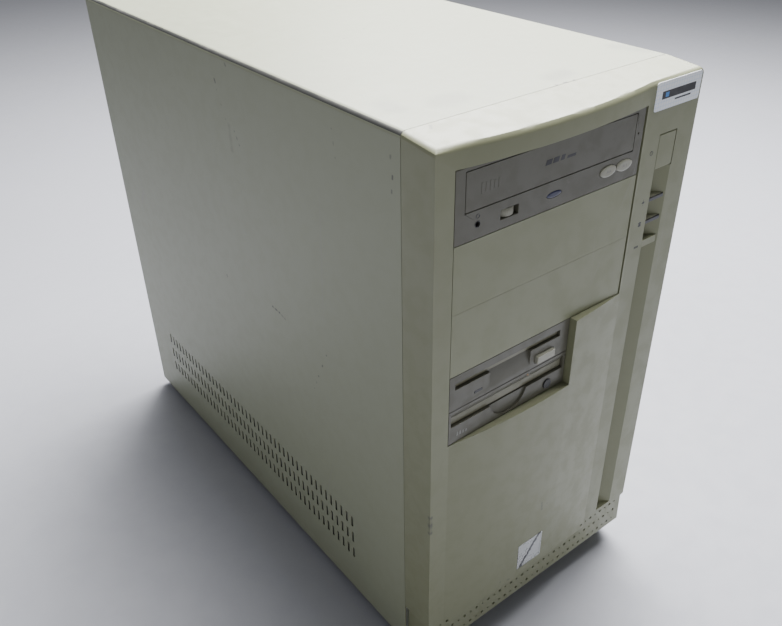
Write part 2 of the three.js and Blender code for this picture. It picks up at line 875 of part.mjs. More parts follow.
function addControls() {
  const button = box(
    grooveLeft + buttonGap,
    grooveRight + buttonGap,
    faceFront,
    faceFront + powerDepth,
    grooveTop + buttonGap,
    grooveTop + powerHeight,
  );
  place("power_button", "bezel", button);
  place("reset_button", "bezel", tabBox(coverTop - resetDrop, resetHeight, 0));
  place("power_lamp", "lamp", tabBox(coverTop - lampDrop[0], lampHeight, 0));
  place("disk_lamp", "lamp", tabBox(coverTop - lampDrop[1], lampHeight, 0));
  place("badge_plate", "silver", badgeBox(buttonGap));
  const right = coverHalf - labelInset;
  const top = coverTop - labelDrop;
  const label = box(
    right - labelSize[0],
    right,
    faceFront - labelClearance - labelThickness,
    faceFront - labelClearance,
    top - labelSize[1],
    top,
  );
  place("case_label", "paper", label);
}

function addBayCovers() {
  const wall = bayCoverWall;
  const depth = bayCoverDepth;
  ["bay_cover_upper", "bay_cover_lower"].forEach((name, index) => {
    const top = bayTop - (index + 1) * widePitch;
    const low = top - widePitch + faceGap;
    const block = box(bayLeft, wideRight, faceFront, faceFront + depth, low, top);
    const hollow = box(
      bayLeft + wall,
      wideRight - wall,
      faceFront + wall,
      faceFront + depth + 1,
      low + wall,
      top - wall,
    );
    place(name, "bezel", shaped([block], [hollow]));
  });
}

// ---------- optical drive ----------
function keyCentre(index) {
  return [bayLeft + keyMiddle[index], bayTop - stripDrop + keyRise];
}

function addOpticalDrive() {
  const stripZ = bayTop - stripDrop;
  const wheelX = bayLeft + wheelAcross;
  const face = box(bayLeft, wideRight, faceFront, faceFront + fasciaDepth, opticalFoot, bayTop);
  const cut = [faceFront - 1, faceFront + fasciaDepth + 1];
  const drawer = box(
    doorLeft - faceGap,
    doorRight + faceGap,
    ...cut,
    doorFoot - faceGap,
    doorTop + faceGap,
  );
  const slot = box(
    wheelX - wheelSlot[0] / 2,
    wheelX + wheelSlot[0] / 2,
    ...cut,
    stripZ - wheelSlot[1] / 2,
    stripZ + wheelSlot[1] / 2,
  );
  const jack = rod("y", jackRadius, ...cut, [stripZ, bayLeft + jackAcross], 12);
  const release = rod("y", releaseRadius, ...cut, [bayTop - releaseDrop, wideRight - releaseInset], 8);
  const roomy = keySize.map((size) => size + 2 * partGap);
  const keys = [0, 1].map((index) => prism("y", oval(...roomy, keyCentre(index)), ...cut));
  const lampRoom = opticalLamp.map((size) => size + 2 * partGap);
  const lamp = prism("y", oval(...lampRoom, [bayLeft + lampAcross, stripZ], 16), ...cut);
  place("optical_fascia", "drive", shaped([face], [drawer, slot, jack, release, ...keys, lamp]));

  const wall = housingWall;
  const [left, right] = [wideMiddle - wideBodyHalf, wideMiddle + wideBodyHalf];
  const [low, high] = [opticalFoot + partGap, bayTop - partGap];
  const bodyBack = bodyFront + opticalDepth;
  const shell = box(left, right, bodyFront, bodyBack, low, high);
  const inside = box(left + wall, right - wall, bodyFront - 1, bodyBack - wall, low + wall, high - wall);
  place("optical_housing", "steel", shaped([shell], [inside]));

  const trayFront = faceFront + doorDepth + partGap;
  const trayLow = doorFoot + trayLift;
  const plate = box(
    wideMiddle - trayWidth / 2,
    wideMiddle + trayWidth / 2,
    trayFront,
    trayFront + trayLength,
    trayLow,
    trayLow + trayThickness,
  );
  const trayTop = trayLow + trayThickness;
  const discY = trayFront + discRadius + discMargin;
  const dish = rod("z", discRadius, trayTop - dishDepth, trayTop + 1, [wideMiddle, discY], 36);
  const spindle = box(
    wideMiddle - spindleWidth / 2,
    wideMiddle + spindleWidth / 2,
    discY - spindleReach,
    trayFront + trayLength + 1,
    trayLow - 1,
    trayTop + 1,
  );
  place("disc_tray", "dark", shaped([plate], [dish, spindle]));
  place(
    "tray_door",
    "drive",
    box(doorLeft, doorRight, faceFront, faceFront + doorDepth, doorFoot, doorTop),
  );

  ["play_button", "open_button"].forEach((name, index) => {
    const [from, to] = keySpan;
    const key = prism("y", oval(...keySize, keyCentre(index)), faceFront + from, faceFront + to);
    place(name, "drive", geometryOf(solid(key)));
  });
  const lensShape = oval(...opticalLamp, [bayLeft + lampAcross, stripZ], 16);
  const lens = prism("y", lensShape, faceFront + opticalLampSpan[0], faceFront + opticalLampSpan[1]);
  place("optical_lamp", "lamp", geometryOf(solid(lens)));
  const wheelY = faceFront + wheelBack;
  const wheelLow = stripZ - wheelThickness / 2;
  const disc = rod("z", wheelRadius, wheelLow, wheelLow + wheelThickness, [wheelX, wheelY], 24);
  place("volume_wheel", "grey", geometryOf(solid(disc)));
}

// ---------- floppy and cartridge drives ----------
function slimTop(index) {
  return wideBottom - index * slimPitch;
}

// A box in a slim face: across from its left side, down from its top as shares of its height.
function slimBox(index, [from, to], [drop, height], [front, back], room = 0) {
  const top = slimTop(index) - drop * slimFaceHeight;
  const low = top - height * slimFaceHeight;
  return box(bayLeft + from - room, bayLeft + to + room, front, back, low - room, top + room);
}

function addSlimHousing(name, index, length) {
  const wall = housingWall;
  const top = slimTop(index) - partGap;
  const low = slimTop(index) - slimFaceHeight + partGap;
  const [left, right] = [bayLeft + slimBodyInset, slimRight - slimBodyInset];
  const shell = box(left, right, bodyFront, bodyFront + length, low, top);
  const hollowBack = bodyFront + length - wall;
  const inside = box(left + wall, right - wall, bodyFront - 1, hollowBack, low + wall, top - wall);
  place(name, "steel", shaped([shell], [inside]));
}

function addFloppyDrive() {
  const whole = [faceFront - 1, faceFront + fasciaDepth + 1];
  const face = slimBox(0, [0, slimFaceWidth], [0, 1], [faceFront, faceFront + fasciaDepth]);
  const slot = slimBox(0, floppySlotAcross, floppySlotDown, whole);
  const scoopTop = slimTop(0) - (floppySlotDown[0] + floppySlotDown[1]) * slimFaceHeight;
  const scoopFoot = scoopTop - floppyScoopHeight * slimFaceHeight;
  const scoop = prism(
    "x",
    [
      [faceFront - 1, scoopTop],
      [faceFront + floppyScoopDepth, scoopTop],
      [faceFront, scoopFoot],
      [faceFront - 1, scoopFoot],
    ],
    bayLeft + floppyScoopAcross[0],
    bayLeft + floppyScoopAcross[1],
  );
  const keyHole = slimBox(0, floppyKeyAcross, floppyKeyDown, whole, buttonGap);
  const lampHole = slimBox(0, floppyLampAcross, floppyLampDown, whole);
  place("floppy_fascia", "drive", shaped([face], [slot, scoop, keyHole, lampHole]));
  addSlimHousing("floppy_housing", 0, floppyLength);
  place("floppy_flap", "grey", slimBox(0, floppySlotAcross, floppySlotDown, flapSpan, -partGap));
  const reach = [faceFront - floppyKeyProud, faceFront + keyReach];
  place("floppy_button", "drive", slimBox(0, floppyKeyAcross, floppyKeyDown, reach));
}

function addCartridgeDrive() {
  const whole = [faceFront - 1, faceFront + fasciaDepth + 1];
  const face = slimBox(1, [0, slimFaceWidth], [0, 1], [faceFront, faceFront + fasciaDepth]);
  const slot = slimBox(1, cartridgeSlotAcross, cartridgeSlotDown, whole);
  const slotTop = slimTop(1) - cartridgeSlotDown[0] * slimFaceHeight;
  const leadTop = slimTop(1) - cartridgeLeadDrop * slimFaceHeight;
  const lead = prism(
    "x",
    [
      [faceFront - 1, leadTop],
      [faceFront, leadTop],
      [faceFront + cartridgeLeadDepth, slotTop - 0.1],
      [faceFront - 1, slotTop - 0.1],
    ],
    bayLeft + cartridgeSlotAcross[0],
    bayLeft + cartridgeSlotAcross[1],
  );
  const crescentZ = slotTop - crescentDrop * slimFaceHeight;
  const crescentMiddle = [crescentZ, bayLeft + slimFaceWidth / 2 - crescentOff];
  const round = rod("y", crescentRadius, faceFront - 1, faceFront + crescentDepth, crescentMiddle, 28);
  const aboveSpan = [faceFront - 2, faceFront + 2];
  const above = slimBox(1, [0, slimFaceWidth], [-1, 1 + cartridgeSlotDown[0]], aboveSpan);
  const crescent = geometryOf(solid(round).subtract(solid(above)));
  const keyMiddleZ = slimTop(1) - cartridgeKeyDrop * slimFaceHeight;
  const keyRadius = cartridgeKeyRadius * slimFaceHeight;
  const keyPlace = [keyMiddleZ, bayLeft + cartridgeKeyAcross];
  const keyHole = rod("y", keyRadius + partGap, ...whole, keyPlace, 16);
  place("cartridge_fascia", "drive", shaped([face], [slot, lead, crescent, keyHole]));
  addSlimHousing("cartridge_housing", 1, cartridgeLength);
  place("cartridge_flap", "grey", slimBox(1, cartridgeSlotAcross, cartridgeSlotDown, flapSpan, -partGap));
  const key = rod("y", keyRadius, faceFront - cartridgeKeyProud, faceFront + keyReach, keyPlace, 16);
  place("cartridge_button", "dark", geometryOf(solid(key)));
}

// ---------- hard drive and its ribbon ----------
function addHardDrive() {
  const [w, d, h] = hardDriveSize;
  const front = hardDriveFront;
  const low = chassisFloor + partGap;
  const rim = hardDriveRim;
  const block = box(hardDriveLeft, hardDriveLeft + w, front, front + d, low, low + h);
  const [stepFront, stepBack] = [front + 2 * rim, front + d - 3 * rim];
  const step = box(hardDriveLeft - 1, hardDriveLeft + 3, stepFront, stepBack, low + rim, low + h - rim);
  place("hard_drive", "steel", shaped([block], [step]));

  const startX = hardDriveLeft + w / 2;
  const startY = front + d + partGap;
  const end = boardFaceX - headerHeight - partGap;
  const route = new THREE.CatmullRomCurve3(
    [
      [startX, startY],
      [startX, startY + 22],
      [startX + 30, startY + 48],
      [end - 45, headerY - 25],
      [end - 12, headerY],
      [end, headerY],
    ].map(([x, y]) => new THREE.Vector3(x, y, 0)),
  );
  const steps = 24;
  const middle = route.getPoints(steps);
  const leftSide = [];
  const rightSide = [];
  middle.forEach((point, index) => {
    const tangent = route.getTangent(index / steps);
    const off = new THREE.Vector3(-tangent.y, tangent.x, 0).setLength(ribbonThickness / 2);
    leftSide.push([point.x + off.x, point.y + off.y]);
    rightSide.unshift([point.x - off.x, point.y - off.y]);
  });
  const foot = low + ribbonLift;
  const band = prism("z", [...leftSide, ...rightSide], foot, foot + ribbonWidth);
  place("drive_ribbon", "grey", geometryOf(solid(band)));
}

// ---------- motherboard and cards ----------
function addMotherboard() {
  const [thick] = boardSize;
  const sunk = boardFaceX + thick / 2;
  const raised = (height, [y0, y1], [z0, z1]) => box(boardFaceX - height, sunk, y0, y1, z0, z1);
  const around = (middle, half) => [middle - half, middle + half];
  const [cpuY, cpuZ] = cpuMiddle;
  const plate = box(boardFaceX, boardFaceX + thick, boardFront, boardBack, boardBottom, boardTop);
  const pieces = [plate, raised(socketHeight, around(cpuY, cpuSide / 2), around(cpuZ, cpuSide / 2))];
  const [socketFrom, socketTo] = cardSocketSpan.map((distance) => boardBack - distance);
  for (let index = 0; index < slotCount - 1; index += 1) {
    const across = around(slotMiddle(index), cardSocketHalf);
    pieces.push(raised(cardSocketHeight, [socketFrom, socketTo], across));
  }
  const headerFoot = boardBottom + headerLift;
  const headerSpan = [headerFoot, headerFoot + ribbonWidth + 2 * headerEnd];
  pieces.push(raised(headerHeight, around(headerY, headerHalf), headerSpan));
  const memoryFoot = boardTop - memoryDrop;
  const [memoryHigh, memoryWide, memoryLong] = memorySocketSize;
  for (const front of memoryFronts) {
    const across = around(boardFront + front, memoryWide / 2);
    pieces.push(raised(memoryHigh, across, [memoryFoot, memoryFoot + memoryLong]));
  }
  const chipFront = boardFront + boardChipFront;
  const chipSpan = around(slotMiddle(0) + boardChipRise, boardChipSide / 2);
  pieces.push(raised(boardChipHeight, [chipFront, chipFront + boardChipSide], chipSpan));
  place("motherboard", "board", shaped(pieces));

  const [tall, wide, long] = memorySize;
  const edge = boardFaceX - memoryHigh - partGap;
  const foot = memoryFoot + (memoryLong - long) / 2;
  memoryFronts.forEach((front, index) => {
    const y = boardFront + front;
    const module = box(edge - tall, edge, y - wide / 2, y + wide / 2, foot, foot + long);
    place(`memory_module_${index + 1}`, "board", module);
  });
}

function addProcessorCooler() {
  const [y, z] = cpuMiddle;
  const half = cpuSide / 2;
  const right = boardFaceX - socketHeight - partGap;
  const pieces = [box(right - coolerBase, right, y - half, y + half, z - half, z + half)];
  const pitch = (cpuSide - finThickness) / (coolerFins - 1);
  for (let index = 0; index < coolerFins; index += 1) {
    const foot = z - half + index * pitch;
    const top = foot + finThickness;
    pieces.push(box(right - coolerHeight, right - coolerBase / 2, y - half, y + half, foot, top));
  }
  place("processor_heatsink", "silver", shaped(pieces));
  addFan("processor_fan", "x", fanSmall, right - coolerHeight - partGap - fanSmall.depth, [y, z]);
}

// A square-framed fan: a frame whose hub is held by struts, and a rotor with slanted blades.
function addFan(name, axis, fan, from, middle) {
  const half = fan.side / 2;
  const to = from + fan.depth;
  const strutDepth = fan.depth * strutShare;
  const bore = rod(axis, fan.bore, from - 1, to + 1, middle, 24);
  const arm = half - strutWidth / 4;
  const held = [
    prism(axis, rectangle(middle, arm, strutWidth / 2), to - strutDepth, to),
    prism(axis, rectangle(middle, strutWidth / 2, arm), to - strutDepth, to),
    rod(axis, fan.hub, to - strutDepth, to, middle, 16),
  ];
  const square = solid(prism(axis, rectangle(middle, half, half), from, to));
  place(`${name}_frame`, "dark", geometryOf(square.subtract(solid(bore)).add(together(held))));

  const rotorFrom = from + rotorPlay[0];
  const rotorTo = to - strutDepth - rotorPlay[1];
  const inner = fan.hub / 2;
  const reach = fan.bore - bladeClearance;
  const along = axis === "x" ? new THREE.Vector3(1, 0, 0) : new THREE.Vector3(0, 1, 0);
  const radial = axis === "x" ? new THREE.Vector3(0, 1, 0) : new THREE.Vector3(1, 0, 0);
  const out = new THREE.Vector3().crossVectors(radial, along);
  const aligned = new THREE.Matrix4().makeBasis(radial, along, out);
  const pieces = [rod(axis, fan.hub, rotorFrom, rotorTo, middle, 16)];
  for (let index = 0; index < fanBlades; index += 1) {
    const turn = (2 * Math.PI * index) / fanBlades;
    const bladeDepth = (rotorTo - rotorFrom) * bladeShare;
    const blade = new THREE.BoxGeometry(reach - inner, bladeDepth, bladeThickness);
    blade.rotateX(bladeSlant);
    blade.translate((reach + inner) / 2, 0, 0);
    blade.applyMatrix4(aligned);
    blade.applyMatrix4(new THREE.Matrix4().makeRotationAxis(along, turn));
    blade.translate(...fanCentre(axis, (rotorFrom + rotorTo) / 2, middle));
    pieces.push(blade);
  }
  place(`${name}_rotor`, "dark", shaped(pieces));
}

function rectangle([a, b], wide, tall) {
  return [
    [a - wide, b - tall],
    [a + wide, b - tall],
    [a + wide, b + tall],
    [a - wide, b + tall],
  ];
}

function fanCentre(axis, along, [a, b]) {
  if (axis === "x") return [along, a, b];
  return [b, along, a];
}

function addCard(name, slot, [length, height, sockets]) {
  const z = slotMiddle(slot);
  const plateFront = bracketBack - bracketThickness;
  const right = boardFaceX - cardSocketHeight - partGap;
  const [front, back] = [bracketBack - length, plateFront + bracketThickness / 2];
  const circuit = box(right - height, right, front, back, z - cardThickness / 2, z + cardThickness / 2);
  const half = bracketWidth / 2;
  const bracketLeft = slotRight - slotOpening[0] - bracketReach;
  const bracket = box(bracketLeft, boardFaceX - bracketClear, plateFront, bracketBack, z - half, z + half);
  const outlets = sockets.map(([across, width, tall]) =>
    box(
      slotRight - across - width,
      slotRight - across,
      plateFront - outletSpan[0],
      rearFace + outletSpan[1],
      z - tall / 2,
      z + tall / 2,
    ),
  );
  const chipX = right - height * cardChipPlace;
  const chipY = bracketBack - length * cardChipPlace;
  const chip = box(chipX, chipX + cardChipSide, chipY, chipY + cardChipSide, z, z + cardChipHeight);
  place(name, "board", shaped([circuit, bracket, chip, ...outlets]));
}

function addRearPorts() {
  const [w, h] = ioSize;
  const shield = box(
    ioRight - w - shieldMargin,
    ioRight + shieldMargin,
    bracketBack - shieldThickness,
    bracketBack,
    ioTop - h - shieldMargin,
    ioTop + shieldMargin,
  );
  const right = ioRight - ioShellInset;
  const [front, back] = [bracketBack - ioShellSpan[0], rearFace + ioShellSpan[1]];
  const shells = ioShells.map(([wide, from, to]) =>
    box(right - wide, right, front, back, ioTop - to, ioTop - from),
  );
  place("rear_ports", "silver", shaped([shield, ...shells]));
}

// ---------- power supply ----------
function around(x, z, wide, tall, front, back) {
  return box(x - wide / 2, x + wide / 2, front, back, z - tall / 2, z + tall / 2);
}

function addPowerSupply() {
  const [w, , h] = psuSize;
  const right = psuLeft + w;
  const top = psuBottom + h;
  const shell = box(psuLeft, right, psuFront, psuBack, psuBottom, top);
  const inside = box(
    psuLeft + psuSheet,
    right - psuSheet,
    psuFront + psuSheet,
    psuBack - psuSheet,
    psuBottom + psuSheet,
    top - psuSheet,
  );
  const out = [psuBack - 2 * psuSheet, psuBack + 1];
  const inletX = right - inletRight;
  const inletZ = top - inletDrop;
  const selectorZ = top - selectorDrop;
  const [inletHole, inletHoleHeight] = inletSize.map((size) => size + 2 * partGap);
  const cuts = [
    inside,
    rod("y", fanLarge.bore - 2, ...out, [psuFan.z, psuFan.x], 24),
    around(inletX, inletZ, inletHole, inletHoleHeight, ...out),
    around(inletX, selectorZ, selectorSlot[1], selectorSlot[0], ...out),
  ];
  const ventPlaces = (w - 2 * psuVentInset) / (psuVents - 1);
  const half = psuVentWidth / 2;
  for (let index = 0; index < psuVents; index += 1) {
    const x = psuLeft + psuVentInset + index * ventPlaces;
    const [foot, head] = [psuBottom + psuVentFoot, top - psuVentTop];
    cuts.push(box(x - half, x + half, psuFront - 1, psuFront + 2, foot, head));
  }
  const leadMiddle = [leadStart.z, leadStart.x];
  const leadHole = rod("y", leadRadius + partGap, psuFront - 1, psuFront + 2, leadMiddle, 12);
  place("power_supply_case", "steel", shaped([shell], [...cuts, leadHole]));

  const fanFrom = psuBack - psuSheet - partGap - fanLarge.depth;
  addFan("supply_fan", "y", fanLarge, fanFrom, [psuFan.z, psuFan.x]);
  addInlet(inletX, inletZ);

  const [knobWide, knobDeep, knobTall] = knobSize;
  const knobBack = psuBack + knobProud;
  const knobMiddle = inletX - selectorTravel / 2;
  const knob = around(knobMiddle, selectorZ, knobWide, knobTall, knobBack - knobDeep, knobBack);
  place("voltage_selector", "red", knob);
}

function addInlet(x, z) {
  const face = psuBack + partGap;
  const flangeBack = rearFace + inletProud;
  const flange = around(x, z, ...inletFlange, face, flangeBack);
  const barrel = around(x, z, ...inletSize, psuBack - inletDepth, face + partGap);
  const [recessWide, recessTall, recessDeep] = inletRecess;
  const floor = psuBack - recessDeep;
  const recess = around(x, z, recessWide, recessTall, floor, flangeBack + 1);
  const [pinWide, pinDeep, pinTall] = pinSize;
  const pins = pinPlaces.map(([across, up]) =>
    around(x + across, z + up, pinWide, pinTall, floor - 1, floor + pinDeep),
  );
  const socket = together([flange, barrel]).subtract(solid(recess)).add(together(pins));
  place("mains_inlet", "dark", geometryOf(socket));
}

function addFanGuard() {
  const front = rearFace + guardClearance;
  const back = front + guardWire;
  const middle = [psuFan.z, psuFan.x];
  const rings = guardRings.map((radius) => {
    const ring = rod("y", radius + guardWire / 2, front, back, middle, 24);
    const hole = rod("y", radius - guardWire / 2, front - 1, back + 1, middle, 24);
    return solid(ring).subtract(solid(hole));
  });
  const arms = [Math.PI / 4, -Math.PI / 4].map((turn) => {
    const arm = new THREE.BoxGeometry(2 * guardReach, guardWire, guardWire);
    arm.rotateY(turn);
    return solid(arm.translate(psuFan.x, (front + back) / 2, psuFan.z));
  });
  const guard = [...rings, ...arms].reduce((sum, piece) => sum.add(piece));
  place("fan_guard", "steel", geometryOf(guard));
}

function addPowerLead() {
  const opticalBack = bodyFront + opticalDepth;
  const end = new THREE.Vector3(wideMiddle - 45, opticalBack + partGap, opticalFoot + 14);
  const middle = new THREE.Vector3().addVectors(leadStart, end).divideScalar(2);
  const route = new THREE.CatmullRomCurve3([
    leadStart,
    new THREE.Vector3(leadStart.x, leadStart.y - leadStraight, leadStart.z),
    new THREE.Vector3(middle.x, middle.y, middle.z - leadSag),
    new THREE.Vector3(end.x, end.y + leadStraight, end.z),
    end,
  ]);
  const circle = new THREE.Shape();
  circle.absarc(0, 0, leadRadius, 0, 2 * Math.PI, false);
  const tube = new THREE.ExtrudeGeometry(circle, { steps: 14, extrudePath: route, curveSegments: 4 });
  place("power_lead", "dark", geometryOf(solid(tube)));
}

addChassis();
addCages();
addFeet();
addBezel();
addControls();
addBayCovers();
addOpticalDrive();
addFloppyDrive();
addCartridgeDrive();
addHardDrive();
addMotherboard();
addProcessorCooler();
addCard("graphics_card", usedSlots[0], graphicsCard);
addCard("sound_card", usedSlots[1], soundCard);
addRearPorts();
addPowerSupply();
addFanGuard();
addPowerLead();
addCover();
addCoverScrews();

// The tower stands on the ground with its middle over the origin.
const bounds = new THREE.Box3().setFromObject(tower);
tower.position.set(0, -(bounds.min.y + bounds.max.y) / 2, 0);

export default tower;
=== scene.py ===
"""Looks for a desktop computer tower: finishes and modelled detail laid on its CAD frame.

Lengths are in millimetres, in the tower's frame: X to its right side as seen from the front, Y to
its back and Z up. MM turns them into the metres that Blender and the frame use. A class stands for
each sub-assembly, and its fields hold the sizes that the frame doesn't give.
"""

import json
import logging
import math
from dataclasses import dataclass
from enum import Enum
from typing import Callable, Sequence

import bmesh
import bpy
from mathutils import Euler, Matrix, Vector

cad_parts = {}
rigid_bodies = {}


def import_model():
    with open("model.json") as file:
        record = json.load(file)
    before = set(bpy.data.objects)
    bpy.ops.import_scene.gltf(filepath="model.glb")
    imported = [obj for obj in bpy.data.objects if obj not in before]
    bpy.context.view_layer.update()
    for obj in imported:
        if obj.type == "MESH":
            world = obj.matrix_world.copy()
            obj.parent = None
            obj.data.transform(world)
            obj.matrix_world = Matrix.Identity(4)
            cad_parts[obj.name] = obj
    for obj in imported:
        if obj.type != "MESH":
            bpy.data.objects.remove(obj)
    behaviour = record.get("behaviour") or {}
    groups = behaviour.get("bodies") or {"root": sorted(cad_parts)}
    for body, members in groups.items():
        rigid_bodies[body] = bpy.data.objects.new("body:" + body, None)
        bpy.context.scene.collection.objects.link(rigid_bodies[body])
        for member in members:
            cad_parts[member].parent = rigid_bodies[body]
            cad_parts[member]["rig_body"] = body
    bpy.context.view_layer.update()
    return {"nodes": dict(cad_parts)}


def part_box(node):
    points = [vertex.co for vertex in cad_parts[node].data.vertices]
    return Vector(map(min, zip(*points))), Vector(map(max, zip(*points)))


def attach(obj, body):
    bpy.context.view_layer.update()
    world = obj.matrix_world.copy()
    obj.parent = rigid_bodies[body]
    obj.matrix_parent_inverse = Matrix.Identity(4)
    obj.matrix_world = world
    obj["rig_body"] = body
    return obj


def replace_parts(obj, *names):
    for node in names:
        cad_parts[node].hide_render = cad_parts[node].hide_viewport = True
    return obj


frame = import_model()
LOG = logging.getLogger("tower")
MM = 0.001

Triple = tuple[float, float, float]
Colour = tuple[float, float, float]
Pair = tuple[float, float]
Socket = bpy.types.NodeSocket
Node = bpy.types.Node
Tree = bpy.types.NodeTree
Piece = bpy.types.Object


class Axis(Enum):
    """The three axes of the tower's frame."""

    X = 0
    Y = 1
    Z = 2


# ---------------------------------------------------------------- node helpers


@dataclass
class Graph:
    """A node tree being wired."""

    tree: Tree

    def node(self, kind: str, **settings: object) -> Node:
        """Adds a node.

        Args:
            kind: Blender's name of the node type.
            **settings: its attributes to set.

        Returns:
            The new node.
        """
        made = self.tree.nodes.new(kind)
        for key, value in settings.items():
            setattr(made, key, value)
        return made

    def link(self, source: Socket, target: Socket) -> None:
        """Joins an output to an input."""
        self.tree.links.new(source, target)

    def place(self) -> Socket:
        """The object's own coordinates."""
        return self.node("ShaderNodeTexCoord").outputs["Object"]

    def split(self, vector: Socket) -> Sequence[Socket]:
        """A vector's three parts."""
        parts = self.node("ShaderNodeSeparateXYZ")
        self.link(vector, parts.inputs[0])
        return parts.outputs

    def scaled(self, vector: Socket, by: Socket) -> Socket:
        """A vector times a number."""
        made = self.node("ShaderNodeVectorMath", operation="SCALE")
        self.link(vector, made.inputs[0])
        self.link(by, made.inputs["Scale"])
        return made.outputs[0]

    def shared(self, name: str, **values: float) -> Node:
        """A node that uses a shared group, with its inputs set."""
        made = self.node("ShaderNodeGroup", node_tree=group(name))
        for key, value in values.items():
            made.inputs[key].default_value = value
        return made

    def noise(self, vector: Socket, scale: float, detail: float = 3.0, rough: float = 0.5) -> Socket:
        """A noise texture's value.

        Args:
            vector: the coordinates.
            scale: cycles per metre.
            detail: octaves.
            rough: how strong the finer octaves are.

        Returns:
            The noise output, 0 to 1.
        """
        made = self.node("ShaderNodeTexNoise")
        made.inputs["Scale"].default_value = scale
        made.inputs["Detail"].default_value = detail
        made.inputs["Roughness"].default_value = rough
        self.link(vector, made.inputs["Vector"])
        return made.outputs["Fac"]

    def ramp(
        self,
        value: Socket,
        low: float,
        high: float,
        to_low: float = 0.0,
        to_high: float = 1.0,
    ) -> Socket:
        """Maps a value's range, clamped.

        Args:
            value: what is mapped.
            low: input at to_low.
            high: input at to_high.
            to_low: result at low.
            to_high: result at high.

        Returns:
            The mapped value.
        """
        made = self.node("ShaderNodeMapRange", clamp=True, interpolation_type="SMOOTHSTEP")
        self.link(value, made.inputs["Value"])
        for name, number in (("From Min", low), ("From Max", high), ("To Min", to_low), ("To Max", to_high)):
            made.inputs[name].default_value = number
        return made.outputs["Result"]

    def math(self, operation: str, a: object, b: object) -> Socket:
        """One sum on two values, each a socket or a number."""
        made = self.node("ShaderNodeMath", operation=operation)
        for index, value in enumerate((a, b)):
            if isinstance(value, (int, float)):
                made.inputs[index].default_value = value
            else:
                self.link(value, made.inputs[index])
        return made.outputs[0]

    def times(self, a: object, b: object) -> Socket:
        """Two values multiplied."""
        return self.math("MULTIPLY", a, b)

    def mix(self, factor: object, a: object, b: object) -> Socket:
        """A colour mix.

        Args:
            factor: a socket or a number.
            a: colour at 0, a socket or red, green and blue.
            b: colour at 1.

        Returns:
            The mixed colour.
        """
        made = self.node("ShaderNodeMix", data_type="RGBA")
        slots = (made.inputs[0], made.inputs[6], made.inputs[7])
        for slot, value in zip(slots, (factor, a, b)):
            if isinstance(value, (int, float)):
                slot.default_value = value
            elif isinstance(value, tuple):
                slot.default_value = (*value, 1.0)
            else:
                self.link(value, slot)
        return made.outputs[2]


def shader_group(name: str, inputs: Sequence[tuple[str, float]], outputs: Sequence[str]) -> tuple[
    Graph,
    Node,
    Node,
]:
    """Starts a shared node group.

    Args:
        name: the group's name.
        inputs: names and first values of its number inputs.
        outputs: names of its number outputs.

    Returns:
        The graph, its input node and its output node.
    """
    tree = bpy.data.node_groups.new(name, "ShaderNodeTree")
    for label, value in inputs:
        socket = tree.interface.new_socket(name=label, in_out="INPUT", socket_type="NodeSocketFloat")
        socket.default_value = value
    for label in outputs:
        tree.interface.new_socket(name=label, in_out="OUTPUT", socket_type="NodeSocketFloat")
    graph = Graph(tree)
    return graph, graph.node("NodeGroupInput"), graph.node("NodeGroupOutput")


def make_mottle() -> Tree:
    """Slow patches of colour over a surface: handling, age and cleaning.

    Returns:
        The group, with outputs Patches and Fine from 0 to 1.
    """
    graph, entry, result = shader_group("Mottle", [("Size", 1.0)], ["Patches", "Fine"])
    coords = graph.place()
    scaled = graph.scaled(coords, entry.outputs["Size"])
    broad = graph.noise(scaled, 9.0, 4.0, 0.55)
    fine = graph.noise(scaled, 95.0, 3.0, 0.6)
    graph.link(graph.ramp(broad, 0.35, 0.68), result.inputs["Patches"])
    graph.link(graph.ramp(fine, 0.35, 0.7), result.inputs["Fine"])
    return graph.tree


def make_scratches() -> Tree:
    """Sparse thin scratches and small scuffs.

    Returns:
        The group, with outputs Lines and Scuffs from 0 to 1.
    """
    graph, entry, result = shader_group("Scratches", [("Amount", 1.0)], ["Lines", "Scuffs"])
    coords = graph.place()
    total = None
    for turn, scale in ((0.5, 17.0), (2.1, 23.0)):
        turned = graph.node("ShaderNodeMapping")
        turned.inputs["Rotation"].default_value = (turn, turn * 0.7, turn * 1.3)
        turned.inputs["Scale"].default_value = (1.0, 1.0, 0.16)
        graph.link(coords, turned.inputs["Vector"])
        cells = graph.node("ShaderNodeTexVoronoi", feature="DISTANCE_TO_EDGE")
        cells.inputs["Scale"].default_value = scale
        graph.link(turned.outputs[0], cells.inputs["Vector"])
        line = graph.ramp(cells.outputs["Distance"], 0.0, 0.010, 1.0, 0.0)
        gate = graph.ramp(graph.noise(turned.outputs[0], 21.0, 1.0), 0.66, 0.72)
        part = graph.times(line, gate)
        total = part if total is None else graph.math("MAXIMUM", total, part)
    lines = graph.times(total, entry.outputs["Amount"])
    spots = graph.ramp(graph.noise(coords, 60.0, 5.0, 0.7), 0.68, 0.76)
    where = graph.ramp(graph.noise(coords, 11.0, 1.0), 0.52, 0.66)
    scuffs = graph.times(graph.times(spots, where), entry.outputs["Amount"])
    graph.link(lines, result.inputs["Lines"])
    graph.link(scuffs, result.inputs["Scuffs"])
    return graph.tree


